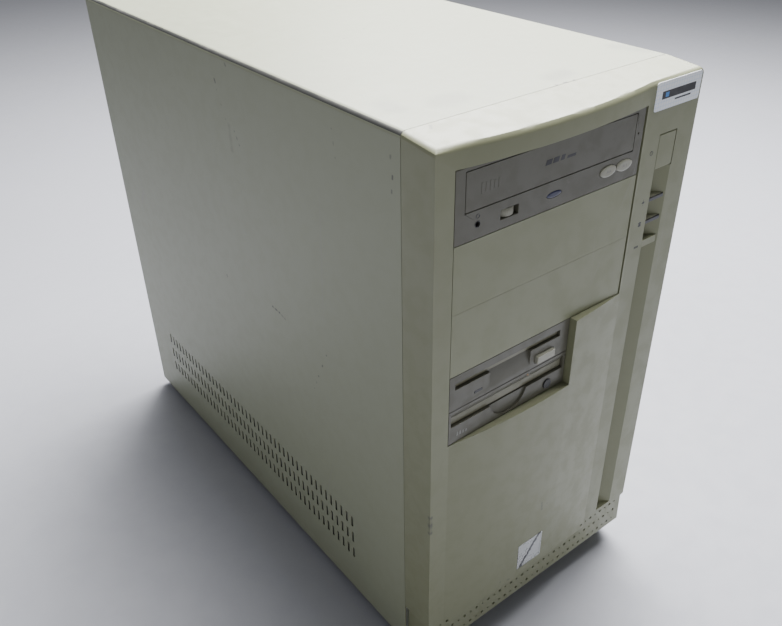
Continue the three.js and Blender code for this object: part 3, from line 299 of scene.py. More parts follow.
def make_dust() -> Tree:
    """Dust that settles on faces that look up, and grime low down.

    Returns:
        The group, with outputs Dust and Grime from 0 to 1.
    """
    graph, entry, result = shader_group("Dust", [("Floor", 0.06)], ["Dust", "Grime"])
    coords = graph.node("ShaderNodeTexCoord")
    facing = graph.split(coords.outputs["Normal"])
    place = graph.split(coords.outputs["Object"])
    up = graph.ramp(facing["Z"], 0.55, 0.98)
    cloud = graph.ramp(graph.noise(coords.outputs["Object"], 26.0, 6.0, 0.65), 0.38, 0.75)
    graph.link(graph.times(up, cloud), result.inputs["Dust"])
    height = graph.math("DIVIDE", place["Z"], entry.outputs["Floor"])
    low = graph.ramp(height, 0.1, 1.0, 1.0, 0.0)
    smear = graph.ramp(graph.noise(coords.outputs["Object"], 44.0, 5.0, 0.7), 0.4, 0.72)
    graph.link(graph.times(low, smear), result.inputs["Grime"])
    return graph.tree


def make_grain() -> Tree:
    """A fine surface texture's height.

    Returns:
        The group, with output Height from 0 to 1.
    """
    graph, entry, result = shader_group("Grain", [("Size", 1.0)], ["Height"])
    coords = graph.place()
    scaled = graph.scaled(coords, entry.outputs["Size"])
    fine = graph.noise(scaled, 1500.0, 2.0, 0.6)
    broad = graph.noise(scaled, 420.0, 2.0, 0.5)
    height = graph.math("ADD", graph.times(fine, 0.6), graph.times(broad, 0.4))
    graph.link(height, result.inputs["Height"])
    return graph.tree


GRIME: Colour = (0.16, 0.14, 0.11)
BUMP_DEPTH = 0.0002
GROUPS: dict[str, Tree] = {}
MATERIALS: dict[str, bpy.types.Material] = {}


def make_scuff() -> Tree:
    """One mark from a start to an end point, ragged at its edge.

    Returns:
        The group, with output Mask from 0 to 1.
    """
    graph, entry, result = shader_group("Scuff", [("Width", 0.001)], ["Mask"])
    for label in ("Start", "End"):
        graph.tree.interface.new_socket(name=label, in_out="INPUT", socket_type="NodeSocketVector")
    coords = graph.place()

    def vector(operation: str, first: Socket, second: Socket) -> Node:
        """One vector operation on two sockets."""
        node = graph.node("ShaderNodeVectorMath", operation=operation)
        graph.link(first, node.inputs[0])
        graph.link(second, node.inputs[1])
        return node

    run = vector("SUBTRACT", entry.outputs["End"], entry.outputs["Start"]).outputs[0]
    offset = vector("SUBTRACT", coords, entry.outputs["Start"]).outputs[0]
    covered = vector("DOT_PRODUCT", offset, run).outputs["Value"]
    whole = vector("DOT_PRODUCT", run, run).outputs["Value"]
    share = graph.ramp(graph.math("DIVIDE", covered, whole), 0.0, 1.0)
    away = vector("DISTANCE", offset, graph.scaled(run, share)).outputs["Value"]
    rough = graph.times(graph.math("SUBTRACT", graph.noise(coords, 900.0, 3.0), 0.5), 0.3)
    ragged = graph.math("ADD", away, graph.times(rough, entry.outputs["Width"]))
    inner = graph.math("DIVIDE", ragged, entry.outputs["Width"])
    graph.link(graph.ramp(inner, 0.15, 0.85, 1.0, 0.0), result.inputs["Mask"])
    return graph.tree


def group(name: str) -> Tree:
    """A shared group by name, made on first use."""
    makers: dict[str, Callable[[], Tree]] = {
        "Mottle": make_mottle,
        "Scratches": make_scratches,
        "Dust": make_dust,
        "Grain": make_grain,
        "Scuff": make_scuff,
    }
    if name not in GROUPS:
        GROUPS[name] = makers[name]()
    return GROUPS[name]


# -------------------------------------------------------------------- finishes


@dataclass(frozen=True)
class Mark:
    """A scratch or smudge between two points, in millimetres."""

    start: Triple
    end: Triple
    width: float
    strength: float


@dataclass(frozen=True)
class Finish:
    """A surface finish: its colours, gloss and wear."""

    name: str
    slot: str
    base: Colour
    shade: Colour
    roughness: Pair = (0.45, 0.6)
    metallic: float = 0.0
    bump: float = 0.15
    grain: float = 1.0
    mottle: float = 1.0
    patches: float = 0.5
    scratches: float = 0.0
    scratch_colour: Colour = (0.25, 0.24, 0.22)
    dust: float = 0.0
    dust_colour: Colour = (0.6, 0.58, 0.54)
    grime: float = 0.0
    coat: float = 0.0
    marks: tuple[Mark, ...] = ()
    mark_colour: Colour = (0.045, 0.042, 0.04)

    def pattern(self, graph: Graph, colour: Socket) -> Socket:
        """The finish's own pattern over its colour; plain finishes have none."""
        return colour

    def relief(self, graph: Graph) -> Socket:
        """The height that the bump follows."""
        return graph.shared("Grain", Size=self.grain).outputs["Height"]

    def material(self) -> bpy.types.Material:
        """Builds the finish's material once.

        Returns:
            The material, shared by every piece of this finish.
        """
        if self.name in MATERIALS:
            return MATERIALS[self.name]
        made = bpy.data.materials.new(f"{self.name}_finish")
        MATERIALS[self.name] = made
        made.use_nodes = True
        graph = Graph(made.node_tree)
        shader = made.node_tree.nodes["Principled BSDF"]
        mottle = graph.shared("Mottle", Size=self.mottle)
        patches = graph.times(mottle.outputs["Patches"], self.patches)
        fine = graph.times(mottle.outputs["Fine"], self.patches * 0.4)
        colour = graph.mix(graph.math("ADD", patches, fine), self.base, self.shade)
        colour = self.pattern(graph, colour)
        if self.scratches:
            marks = graph.shared("Scratches", Amount=self.scratches)
            colour = graph.mix(marks.outputs["Lines"], colour, self.scratch_colour)
            soft = graph.times(marks.outputs["Scuffs"], 0.45)
            colour = graph.mix(soft, colour, self.scratch_colour)
        if self.dust or self.grime:
            dust = graph.shared("Dust")
            settled = graph.times(dust.outputs["Dust"], self.dust)
            colour = graph.mix(settled, colour, self.dust_colour)
            grime = graph.times(dust.outputs["Grime"], self.grime)
            colour = graph.mix(grime, colour, GRIME)
        for mark in self.marks:
            start, end = ([value * MM for value in point] for point in (mark.start, mark.end))
            scuff = graph.shared("Scuff", Start=start, End=end, Width=mark.width * MM)
            strength = graph.times(scuff.outputs["Mask"], mark.strength)
            colour = graph.mix(strength, colour, self.mark_colour)
        graph.link(colour, shader.inputs["Base Color"])
        rough = graph.ramp(mottle.outputs["Fine"], 0.0, 1.0, *self.roughness)
        graph.link(rough, shader.inputs["Roughness"])
        shader.inputs["Metallic"].default_value = self.metallic
        shader.inputs["Coat Weight"].default_value = self.coat
        bump = graph.node("ShaderNodeBump")
        bump.inputs["Strength"].default_value = self.bump
        bump.inputs["Distance"].default_value = BUMP_DEPTH
        graph.link(self.relief(graph), bump.inputs["Height"])
        graph.link(bump.outputs["Normal"], shader.inputs["Normal"])
        return made


@dataclass(frozen=True)
class Spangled(Finish):
    """Zinc-plated sheet with its crystal pattern."""

    def pattern(self, graph: Graph, colour: Socket) -> Socket:
        """Cells of lighter and darker zinc."""
        coords = graph.place()
        cells = graph.node("ShaderNodeTexVoronoi")
        cells.inputs["Scale"].default_value = 160.0
        graph.link(coords, cells.inputs["Vector"])
        tone = graph.node("ShaderNodeSeparateColor")
        graph.link(cells.outputs["Color"], tone.inputs[0])
        return graph.mix(graph.times(tone.outputs[0], 0.35), colour, (0.42, 0.44, 0.46))


@dataclass(frozen=True)
class Brushed(Finish):
    """Metal brushed or extruded along one axis."""

    along: Triple = (1.0, 1.0, 0.03)

    def relief(self, graph: Graph) -> Socket:
        """Fine lines along the stretched axis."""
        coords = graph.place()
        turned = graph.node("ShaderNodeMapping")
        turned.inputs["Scale"].default_value = self.along
        graph.link(coords, turned.inputs["Vector"])
        return graph.noise(turned.outputs[0], 2400.0, 2.0)


@dataclass(frozen=True)
class Circuit(Finish):
    """Solder mask over copper tracks, with small pads."""

    plane: tuple[int, int] = (1, 2)

    def pattern(self, graph: Graph, colour: Socket) -> Socket:
        """Tracks in lighter green and tinned pads."""
        coords = graph.place()
        parts = graph.split(coords)
        flat = graph.node("ShaderNodeCombineXYZ")
        graph.link(parts[self.plane[0]], flat.inputs[0])
        graph.link(parts[self.plane[1]], flat.inputs[1])
        bent = graph.noise(flat.outputs[0], 38.0, 0.0)
        offset = graph.times(graph.math("SNAP", bent, 0.125), 0.02)
        lane = graph.math("ADD", parts[self.plane[0]], offset)
        stripes = graph.math("FRACT", graph.times(lane, 620.0), 0.0)
        track = graph.times(graph.ramp(stripes, 0.5, 0.6), graph.ramp(bent, 0.45, 0.55))
        colour = graph.mix(graph.times(track, 0.5), colour, (0.10, 0.40, 0.20))
        pads = graph.node("ShaderNodeTexVoronoi", feature="DISTANCE_TO_EDGE")
        pads.inputs["Scale"].default_value = 210.0
        graph.link(flat.outputs[0], pads.inputs["Vector"])
        holes = graph.node("ShaderNodeTexVoronoi")
        holes.inputs["Scale"].default_value = 260.0
        holes.inputs["Randomness"].default_value = 0.25
        graph.link(flat.outputs[0], holes.inputs["Vector"])
        pad = graph.ramp(holes.outputs["Distance"], 0.14, 0.2, 1.0, 0.0)
        some = graph.ramp(graph.noise(flat.outputs[0], 45.0, 1.0), 0.52, 0.58)
        return graph.mix(graph.times(pad, some), colour, (0.62, 0.60, 0.52))


@dataclass(frozen=True)
class Gridded(Finish):
    """White sticker stock printed with a pale grid."""

    pitch: float = 0.0025
    line: Colour = (0.45, 0.60, 0.80)

    def pattern(self, graph: Graph, colour: Socket) -> Socket:
        """Thin lines across and down."""
        coords = graph.place()
        parts = graph.split(coords)
        for index in (0, 2):
            cell = graph.math("FRACT", graph.math("DIVIDE", parts[index], self.pitch), 0.0)
            edge = graph.ramp(cell, 0.05, 0.16, 1.0, 0.0)
            colour = graph.mix(graph.times(edge, 0.6), colour, self.line)
        return colour


@dataclass(frozen=True)
class Streaked(Finish):
    """A bright plate crossed by a dark slanted streak."""

    streak: Colour = (0.05, 0.05, 0.06)
    middle: Triple = (0.0, 0.0, 0.0)

    def pattern(self, graph: Graph, colour: Socket) -> Socket:
        """A tapered band from the lower left to the upper right."""
        coords = graph.place()
        local = graph.node("ShaderNodeVectorMath", operation="SUBTRACT")
        local.inputs[1].default_value = self.middle
        graph.link(coords, local.inputs[0])
        parts = graph.split(local.outputs[0])
        across = graph.math("SUBTRACT", parts["X"], graph.times(parts["Z"], 0.75))
        ripple = graph.times(graph.noise(coords, 420.0, 2.0), 0.004)
        off = graph.math("ABSOLUTE", graph.math("ADD", across, graph.math("SUBTRACT", ripple, 0.002)), 0.0)
        band = graph.ramp(off, 0.0012, 0.0022, 1.0, 0.0)
        return graph.mix(graph.times(band, 0.9), colour, self.streak)


@dataclass(frozen=True)
class Ribbed(Finish):
    """A flat multi-core ribbon with one coloured edge core."""

    low: float = 0.0
    pitch: float = 0.00127

    def pattern(self, graph: Graph, colour: Socket) -> Socket:
        """Painted shade in the valleys between cores, and the red first core."""
        coords = graph.place()
        parts = graph.split(coords)
        up = graph.math("SUBTRACT", parts["Z"], self.low)
        core = graph.math("FRACT", graph.math("DIVIDE", up, self.pitch), 0.0)
        valley_shade = graph.ramp(graph.math("ABSOLUTE", graph.math("SUBTRACT", core, 0.5), 0.0), 0.3, 0.5)
        colour = graph.mix(graph.times(valley_shade, 0.55), colour, (0.25, 0.25, 0.26))
        return graph.mix(graph.ramp(up, 0.0014, 0.0017, 1.0, 0.0), colour, (0.5, 0.06, 0.05))


COVER_MARKS = (
    Mark((-107.0, 0.5, 389.9), (-107.0, -0.2, 388.0), 1.49, 0.81),
    Mark((-107.0, -1.0, 383.0), (-107.0, -8.4, 364.7), 0.81, 0.47),
    Mark((-107.0, -19.4, 359.3), (-107.0, -24.3, 350.8), 1.08, 0.68),
    Mark((-107.0, -12.4, 361.1), (-107.0, -12.5, 344.1), 3.78, 0.19),
    Mark((-107.0, -46.0, 233.4), (-107.0, -55.3, 232.7), 1.49, 0.95),
    Mark((-107.0, -55.3, 232.7), (-107.0, -62.7, 230.9), 1.49, 0.41),
    Mark((-107.0, -115.3, 227.9), (-107.0, -102.9, 203.1), 1.22, 0.81),
    Mark((-107.0, -102.9, 203.1), (-107.0, -95.9, 188.1), 1.22, 0.34),
    Mark((-107.0, -137.5, 393.7), (-107.0, -139.8, 377.3), 1.08, 0.34),
    Mark((-107.0, -191.8, 383.4), (-107.0, -191.7, 381.8), 1.22, 0.81),
    Mark((-107.0, -191.0, 375.2), (-107.0, -190.9, 373.8), 1.08, 0.61),
    Mark((-107.0, -190.4, 394.0), (-107.0, -190.3, 392.8), 1.35, 0.47),
    Mark((-107.0, 25.2, 228.5), (-107.0, 25.0, 226.9), 1.22, 0.61),
    Mark((-107.0, -17.6, 403.6), (-107.0, -18.4, 402.8), 1.62, 0.54),
    Mark((-52.0, -47.9, 409.0), (1.5, -21.2, 409.0), 1.22, 0.7),
    Mark((14.7, -186.8, 409.0), (25.7, -184.5, 409.0), 13.5, 0.29),
    Mark((-62.5, -178.1, 409.0), (-51.6, -176.9, 409.0), 17.55, 0.22),
    Mark((-87.9, -162.5, 409.0), (-88.1, -170.7, 409.0), 13.5, 0.2),
    Mark((96.0, -168.0, 409.0), (100.9, -183.3, 409.0), 13.5, 0.22),
    Mark((5.4, -197.6, 409.0), (20.1, -197.9, 409.0), 1.76, 0.95),
)
BEZEL_MARKS = (
    Mark((37.9, -230.2, 139.3), (35.5, -230.2, 134.2), 1.62, 0.68),
    Mark((-5.3, -230.4, 114.5), (-4.4, -230.4, 107.8), 1.76, 0.41),
    Mark((0.9, -230.4, 110.3), (28.1, -230.2, 104.6), 1.35, 0.3),
    Mark((-42.2, -229.6, 56.1), (-25.7, -230.2, 50.3), 1.49, 0.54),
    Mark((42.3, -230.0, 101.6), (42.5, -230.0, 100.0), 1.22, 0.47),
    Mark((-89.9, -201.4, 408.6), (-92.1, -204.2, 408.4), 1.62, 0.47),
    Mark((-106.0, -224.0, 162.0), (-106.0, -224.0, 148.0), 2.56, 0.95),
    Mark((-106.0, -224.0, 126.0), (-106.0, -224.0, 60.0), 1.62, 0.41),
)


class Finishes:
    """Every finish that the tower uses."""

    cover = Finish(
        "cover_paint", "cover_paint", (0.246, 0.259, 0.182), (0.229, 0.237, 0.163), (0.42, 0.46),
        bump=0.12, grain=0.55, patches=0.1, scratches=0.4, dust=0.05, dust_colour=(0.42, 0.41, 0.34),
        grime=0.09, marks=COVER_MARKS,
    )
    bezel = Finish(
        "bezel_plastic", "bezel_plastic", (0.2, 0.207, 0.126), (0.185, 0.186, 0.11), (0.4, 0.5),
        bump=0.16, patches=0.15, scratches=0.3, dust=0.05, grime=0.16, marks=BEZEL_MARKS,
    )
    drive = Finish(
        "drive_plastic", "drive_plastic", (0.094, 0.091, 0.067), (0.085, 0.082, 0.06), (0.36, 0.5),
        bump=0.14, patches=0.4, grime=0.2, scratches=0.25,
    )
    # Near-black undercoat for the cover's inside and slot edges: partly a real dark coat, partly painted
    # shade for the hollow cover and its vent slots.
    primer_and_shade = Finish(
        "inside_primer_and_shade", "cover_paint", (0.035, 0.036, 0.034), (0.05, 0.05, 0.046), (0.5, 0.6),
        bump=0.1, dust=0.2,
    )
    blank = Finish(
        "blank_plastic", "bezel_plastic", (0.21, 0.218, 0.134), (0.197, 0.2, 0.12), (0.4, 0.5),
        bump=0.16, patches=0.2, scratches=0.2,
    )
    flap = Finish(
        "flap_plastic", "flap_plastic", (0.175, 0.17, 0.115), (0.15, 0.145, 0.095), (0.35, 0.5), bump=0.1
    )
    black = Finish(
        "black_plastic", "black_plastic", (0.018, 0.018, 0.02), (0.035, 0.034, 0.034), (0.32, 0.5),
        bump=0.12, dust=0.05, patches=0.5,
    )
    gloss = Finish(
        "dark_lens", "lamp_lens", (0.012, 0.013, 0.016), (0.02, 0.02, 0.024), (0.3, 0.4), bump=0.02
    )
    guide = Finish("light_guide", "lamp_lens", (0.36, 0.36, 0.27), (0.32, 0.32, 0.24), (0.3, 0.4), bump=0.03)
    key = Finish(
        "key_plastic", "drive_plastic", (0.30, 0.298, 0.24), (0.27, 0.265, 0.21), (0.3, 0.42), bump=0.1
    )
    blue = Finish("blue_lens", "lamp_lens", (0.012, 0.016, 0.05), (0.018, 0.022, 0.07), (0.3, 0.4), bump=0.02)
    amber = Finish(
        "amber_lens", "lamp_lens", (0.30, 0.16, 0.05), (0.24, 0.12, 0.04), (0.1, 0.2), bump=0.02, coat=0.5
    )
    # Dark print, and painted shade for the socket slits and openings.
    ink_and_shade = Finish(
        "printed_ink_and_shade", "black_plastic", (0.03, 0.03, 0.035), (0.06, 0.06, 0.065), (0.5, 0.7), bump=0.05
    )
    pale_ink = Finish(
        "pale_ink", "drive_plastic", (0.22, 0.22, 0.2), (0.28, 0.27, 0.25), (0.5, 0.7), bump=0.05
    )
    label = Gridded(
        "label_stock", "label_paper", (0.83, 0.85, 0.88), (0.76, 0.78, 0.80), (0.35, 0.45), bump=0.03,
        patches=0.25,
    )
    label_blue = Finish(
        "label_blue", "label_paper", (0.05, 0.22, 0.55), (0.05, 0.18, 0.48), (0.4, 0.5), bump=0.03
    )
    steel = Spangled(
        "zinc_steel", "steel", (0.60, 0.61, 0.62), (0.50, 0.51, 0.52), (0.3, 0.45), metallic=1.0,
        bump=0.06, scratches=0.3, scratch_colour=(0.3, 0.3, 0.3), dust=0.1,
    )
    bright = Finish(
        "bright_wire", "bright_wire", (0.66, 0.66, 0.67), (0.55, 0.55, 0.56), (0.16, 0.3), metallic=1.0,
        bump=0.05,
    )
    gold = Finish(
        "contact_gold", "port_metal", (0.68, 0.48, 0.16), (0.58, 0.40, 0.14), (0.2, 0.34), metallic=1.0,
        bump=0.03,
    )
    silver_paper = Finish(
        "silver_paper", "label_paper", (0.50, 0.51, 0.52), (0.42, 0.43, 0.44), (0.3, 0.45), bump=0.04,
        scratches=0.3,
    )
    memory = Circuit(
        "memory_green", "circuit_board", (0.025, 0.12, 0.05), (0.03, 0.15, 0.07), (0.3, 0.5), bump=0.1,
        plane=(2, 0),
    )
    wine = Finish(
        "port_wine", "black_plastic", (0.22, 0.02, 0.08), (0.18, 0.02, 0.07), (0.35, 0.5), bump=0.05
    )
    plum = Finish(
        "port_plum", "black_plastic", (0.16, 0.06, 0.26), (0.13, 0.05, 0.22), (0.35, 0.5), bump=0.05
    )
    green = Finish(
        "port_green", "black_plastic", (0.05, 0.26, 0.10), (0.04, 0.22, 0.08), (0.35, 0.5), bump=0.05
    )
    port = Finish(
        "port_metal", "port_metal", (0.58, 0.59, 0.60), (0.5, 0.5, 0.51), (0.24, 0.38), metallic=1.0,
        bump=0.05, dust=0.2,
    )
    rubber = Finish(
        "foot_rubber", "foot_rubber", (0.03, 0.03, 0.03), (0.05, 0.048, 0.045), (0.75, 0.9), bump=0.25,
        dust=0.3, grime=0.5,
    )
    board = Circuit(
        "board_green", "circuit_board", (0.025, 0.13, 0.055), (0.03, 0.16, 0.07), (0.3, 0.5), bump=0.1,
        dust=0.2,
    )
    card = Circuit(
        "card_green", "circuit_board", (0.03, 0.15, 0.06), (0.03, 0.17, 0.07), (0.3, 0.5), bump=0.1,
        dust=0.35, plane=(0, 1),
    )
    heatsink = Brushed(
        "heatsink_metal", "heatsink_metal", (0.62, 0.63, 0.64), (0.52, 0.53, 0.54), (0.28, 0.4),
        metallic=1.0, bump=0.2, along=(1.0, 0.03, 1.0),
    )
    disk = Brushed(
        "disk_metal", "steel", (0.55, 0.56, 0.57), (0.47, 0.48, 0.49), (0.3, 0.45), metallic=1.0, bump=0.12
    )
    sleeve = Finish(
        "lead_sleeve", "lead_sleeve", (0.02, 0.02, 0.022), (0.04, 0.04, 0.042), (0.4, 0.6), bump=0.3,
        grain=0.5,
    )
    nylon = Finish(
        "white_nylon", "bezel_plastic", (0.72, 0.71, 0.66), (0.62, 0.61, 0.55), (0.4, 0.55), bump=0.08
    )
    red = Finish(
        "selector_red", "selector_red", (0.42, 0.03, 0.02), (0.36, 0.025, 0.02), (0.2, 0.35), bump=0.05
    )
    teal = Finish("port_teal", "black_plastic", (0.02, 0.2, 0.22), (0.02, 0.17, 0.19), (0.35, 0.5), bump=0.05)
    brown = Finish(
        "slot_brown", "black_plastic", (0.12, 0.05, 0.025), (0.10, 0.04, 0.02), (0.4, 0.55), bump=0.06
    )
    paper = Finish(
        "floor_paper", "", (0.31, 0.315, 0.345), (0.29, 0.295, 0.325), (0.75, 0.9), bump=0.05,
        patches=0.3, mottle=0.4,
    )
    can = Brushed(
        "capacitor_can", "heatsink_metal", (0.03, 0.045, 0.11), (0.025, 0.035, 0.09), (0.3, 0.45), bump=0.04
    )


# ------------------------------------------------------------------- modelling


def deselect() -> None:
    """Leaves nothing selected."""
    if bpy.context.object and bpy.context.object.mode != "OBJECT":
        bpy.ops.object.mode_set(mode="OBJECT")
    bpy.ops.object.select_all(action="DESELECT")


def activate(piece: Piece) -> Piece:
    """Selects one piece only and makes it active."""
    deselect()
    piece.select_set(True)
    bpy.context.view_layer.objects.active = piece
    return piece


def settle(piece: Piece) -> None:
    """Puts the piece's place, turn and size into its mesh."""
    activate(piece)
    bpy.ops.object.transform_apply(location=True, rotation=True, scale=True)


def shade(piece: Piece, degrees: float = 32.0) -> None:
    """Smooth shading below an angle between faces, with the broad faces kept flat."""
    activate(piece)
    bpy.ops.object.shade_smooth_by_angle(angle=math.radians(degrees))
    flat = piece.modifiers.new("flat_faces", "WEIGHTED_NORMAL")
    flat.weight = 100
    flat.keep_sharp = True
    bpy.ops.object.modifier_apply(modifier=flat.name)


def stand_in(piece: Piece, node: str, look: Finish) -> None:
    """Gives a piece its finish and puts it in the place of a CAD node, on that node's body."""
    finish(piece, frame["nodes"][node]["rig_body"], look)
    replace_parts(piece, node)


def detail(name: str, pieces: Sequence[Piece], look: Finish, body: str = "chassis") -> Piece:
    """Makes one named piece of several, with its finish and its body."""
    return finish(joined(name, pieces), body, look)


def pick_faces(piece: Piece, test: Callable[[bpy.types.MeshPolygon], bool]) -> None:
    """Selects the faces that pass a test, in face mode, and enters edit mode.

    Args:
        piece: the mesh object.
        test: takes a polygon and says whether it is wanted.
    """
    activate(piece)
    bpy.ops.object.mode_set(mode="EDIT")
    bpy.ops.mesh.select_mode(type="FACE")
    bpy.ops.mesh.select_all(action="DESELECT")
    bpy.ops.object.mode_set(mode="OBJECT")
    for polygon in piece.data.polygons:
        polygon.select = test(polygon)
    bpy.ops.object.mode_set(mode="EDIT")


def edit_all(piece: Piece) -> None:
    """Enters edit mode with every part of a piece selected."""
    activate(piece)
    bpy.ops.object.mode_set(mode="EDIT")
    bpy.ops.mesh.select_all(action="SELECT")


def object_mode() -> None:
    """Back to object mode."""
    bpy.ops.object.mode_set(mode="OBJECT")


def finish(piece: Piece, body: str, look: Finish) -> Piece:
    """Gives a piece its finish and its body.

    Args:
        piece: the finished mesh, in place.
        body: the CAD body that it rides on.
        look: its finish.

    Returns:
        The piece.
    """
    piece.data.materials.clear()
    piece.data.materials.append(look.material())
    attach(piece, body)
    return piece


def block(
    name: str,
    low: Sequence[float],
    high: Sequence[float],
    rounding: float = 0.0,
    segments: int = 2,
) -> Piece:
    """A block between two corners with rounded edges.

    Args:
        name: the piece's name.
        low: its lowest corner, in millimetres.
        high: its highest corner.
        rounding: edge radius, in millimetres.
        segments: faces across each rounding.

    Returns:
        The block.
    """
    deselect()
    middle = [(a + b) / 2 * MM for a, b in zip(low, high)]
    bpy.ops.mesh.primitive_cube_add(size=1.0, location=middle)
    piece = bpy.context.object
    piece.name = name
    piece.scale = [(b - a) * MM for a, b in zip(low, high)]
    settle(piece)
    if rounding:
        edit_all(piece)
        bpy.ops.mesh.bevel(offset=rounding * MM, segments=segments, affect="EDGES")
        object_mode()
        shade(piece, 40.0)
    return piece


TURNS: dict[tuple[Axis, int], Euler] = {
    (Axis.X, 1): Euler((0.0, math.pi / 2, 0.0)),
    (Axis.X, -1): Euler((0.0, -math.pi / 2, 0.0)),
    (Axis.Y, 1): Euler((-math.pi / 2, 0.0, 0.0)),
    (Axis.Y, -1): Euler((math.pi / 2, 0.0, 0.0)),
    (Axis.Z, 1): Euler((0.0, 0.0, 0.0)),
    (Axis.Z, -1): Euler((math.pi, 0.0, 0.0)),
}


def round_piece(
    name: str,
    radius: float,
    depth: float,
    face: Sequence[float],
    axis: Axis,
    sign: int = 1,
    sides: int = 32,
    steps: Sequence[Pair] = (),
    stretch: Pair = (1.0, 1.0),
    smooth: float = 35.0,
) -> Piece:
    """A round piece with its outer face shaped by insets.

    Args:
        name: the piece's name.
        radius: its radius, in millimetres.
        depth: its length behind the outer face.
        face: the middle of the outer face.
        axis: the axis that it lies along.
        sign: which way the outer face looks along the axis.
        sides: sides of the round.
        steps: (width, rise) of each inset of the outer face.
        stretch: scale across its two widths before it is turned.
        smooth: shading angle.

    Returns:
        The piece.
    """
    deselect()
    bpy.ops.mesh.primitive_cylinder_add(
        vertices=sides, radius=radius * MM, depth=depth * MM, location=(0, 0, -depth / 2 * MM)
    )
    piece = bpy.context.object
    piece.name = name
    settle(piece)
    if steps:
        pick_faces(piece, lambda p: p.normal.z > 0.9)
        for width, rise in steps:
            bpy.ops.mesh.inset(thickness=width * MM, depth=rise * MM)
        object_mode()
    piece.scale = (stretch[0], stretch[1], 1.0)
    settle(piece)
    piece.rotation_euler = TURNS[(axis, sign)]
    piece.location = [value * MM for value in face]
    settle(piece)
    shade(piece, smooth)
    return piece


def ring(
    name: str,
    radius: float,
    wire: float,
    middle: Sequence[float],
    axis: Axis,
    around: int = 48,
    section: int = 10,
) -> Piece:
    """A wire ring.

    Args:
        name: the piece's name.
        radius: of the ring's centre line, in millimetres.
        wire: the wire's radius.
        middle: the ring's centre.
        axis: the axis through it.
        around: segments round the ring.
        section: segments round the wire.

    Returns:
        The ring.
    """
    deselect()
    bpy.ops.mesh.primitive_torus_add(
        major_radius=radius * MM, minor_radius=wire * MM, major_segments=around, minor_segments=section
    )
    piece = bpy.context.object
    piece.name = name
    piece.rotation_euler = TURNS[(axis, 1)]
    piece.location = [value * MM for value in middle]
    settle(piece)
    shade(piece, 60.0)
    return piece


def joined(name: str, pieces: Sequence[Piece]) -> Piece:
    """Several pieces made one object.

    Args:
        name: the new name.
        pieces: what is joined.

    Returns:
        The joined piece.
    """
    deselect()
    for piece in pieces:
        piece.select_set(True)
    bpy.context.view_layer.objects.active = pieces[0]
    if len(pieces) > 1:
        bpy.ops.object.join()
    pieces[0].name = name
    return pieces[0]


def refined(
    node: str,
    look: Finish,
    width: float = 0.3,
    shortest: float = 1.5,
    angle: float = 35.0,
    segments: int = 2,
    crease: float = 32.0,
) -> Piece:
    """A CAD node's shape with its sharp edges softened; it stands for the node.

    Args:
        node: the CAD node.
        look: its finish.
        width: of each softened edge, in millimetres; 0 leaves edges sharp.
        shortest: edges under this length stay sharp.
        angle: the least angle between faces that counts as an edge.
        segments: faces across each softened edge.
        crease: the angle between faces above which shading stays sharp.

    Returns:
        The new piece.
    """
    source = frame["nodes"][node]
    piece = bpy.data.objects.new(f"{node}_look", source.data.copy())
    bpy.context.scene.collection.objects.link(piece)
    activate(piece)
    bpy.ops.mesh.customdata_custom_splitnormals_clear()
    edit_all(piece)
    bpy.ops.mesh.remove_doubles(threshold=0.00001)
    bpy.ops.mesh.dissolve_limited(angle_limit=math.radians(0.5))
    bpy.ops.mesh.quads_convert_to_tris(ngon_method="CLIP")
    object_mode()
    if width:
        mesh = bmesh.new()
        mesh.from_mesh(piece.data)
        layer = mesh.edges.layers.float.get("bevel_weight_edge") or mesh.edges.layers.float.new(
            "bevel_weight_edge"
        )
        for edge in mesh.edges:
            sharp = len(edge.link_faces) == 2 and edge.calc_face_angle(0.0) > math.radians(angle)
            edge[layer] = 1.0 if sharp and edge.calc_length() > shortest * MM else 0.0
        mesh.to_mesh(piece.data)
        mesh.free()
        soft = piece.modifiers.new("soften", "BEVEL")
        soft.width = width * MM
        soft.segments = segments
        soft.limit_method = "WEIGHT"
        soft.use_clamp_overlap = True
        soft.miter_outer = "MITER_ARC"
        activate(piece)
        bpy.ops.object.modifier_apply(modifier=soft.name)
    shade(piece, crease)
    stand_in(piece, node, look)
    return piece


def dress(node: str, look: Finish) -> None:
    """Gives a CAD node a finish without changing its shape."""
    materials = frame["nodes"][node].data.materials
    materials.clear()
    materials.append(look.material())


def low_high(node: str) -> tuple[Vector, Vector]:
    """A CAD node's lowest and highest corners, in millimetres."""
    low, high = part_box(node)
    return low / MM, high / MM


# ---------------------------------------------------------------- sub-assemblies


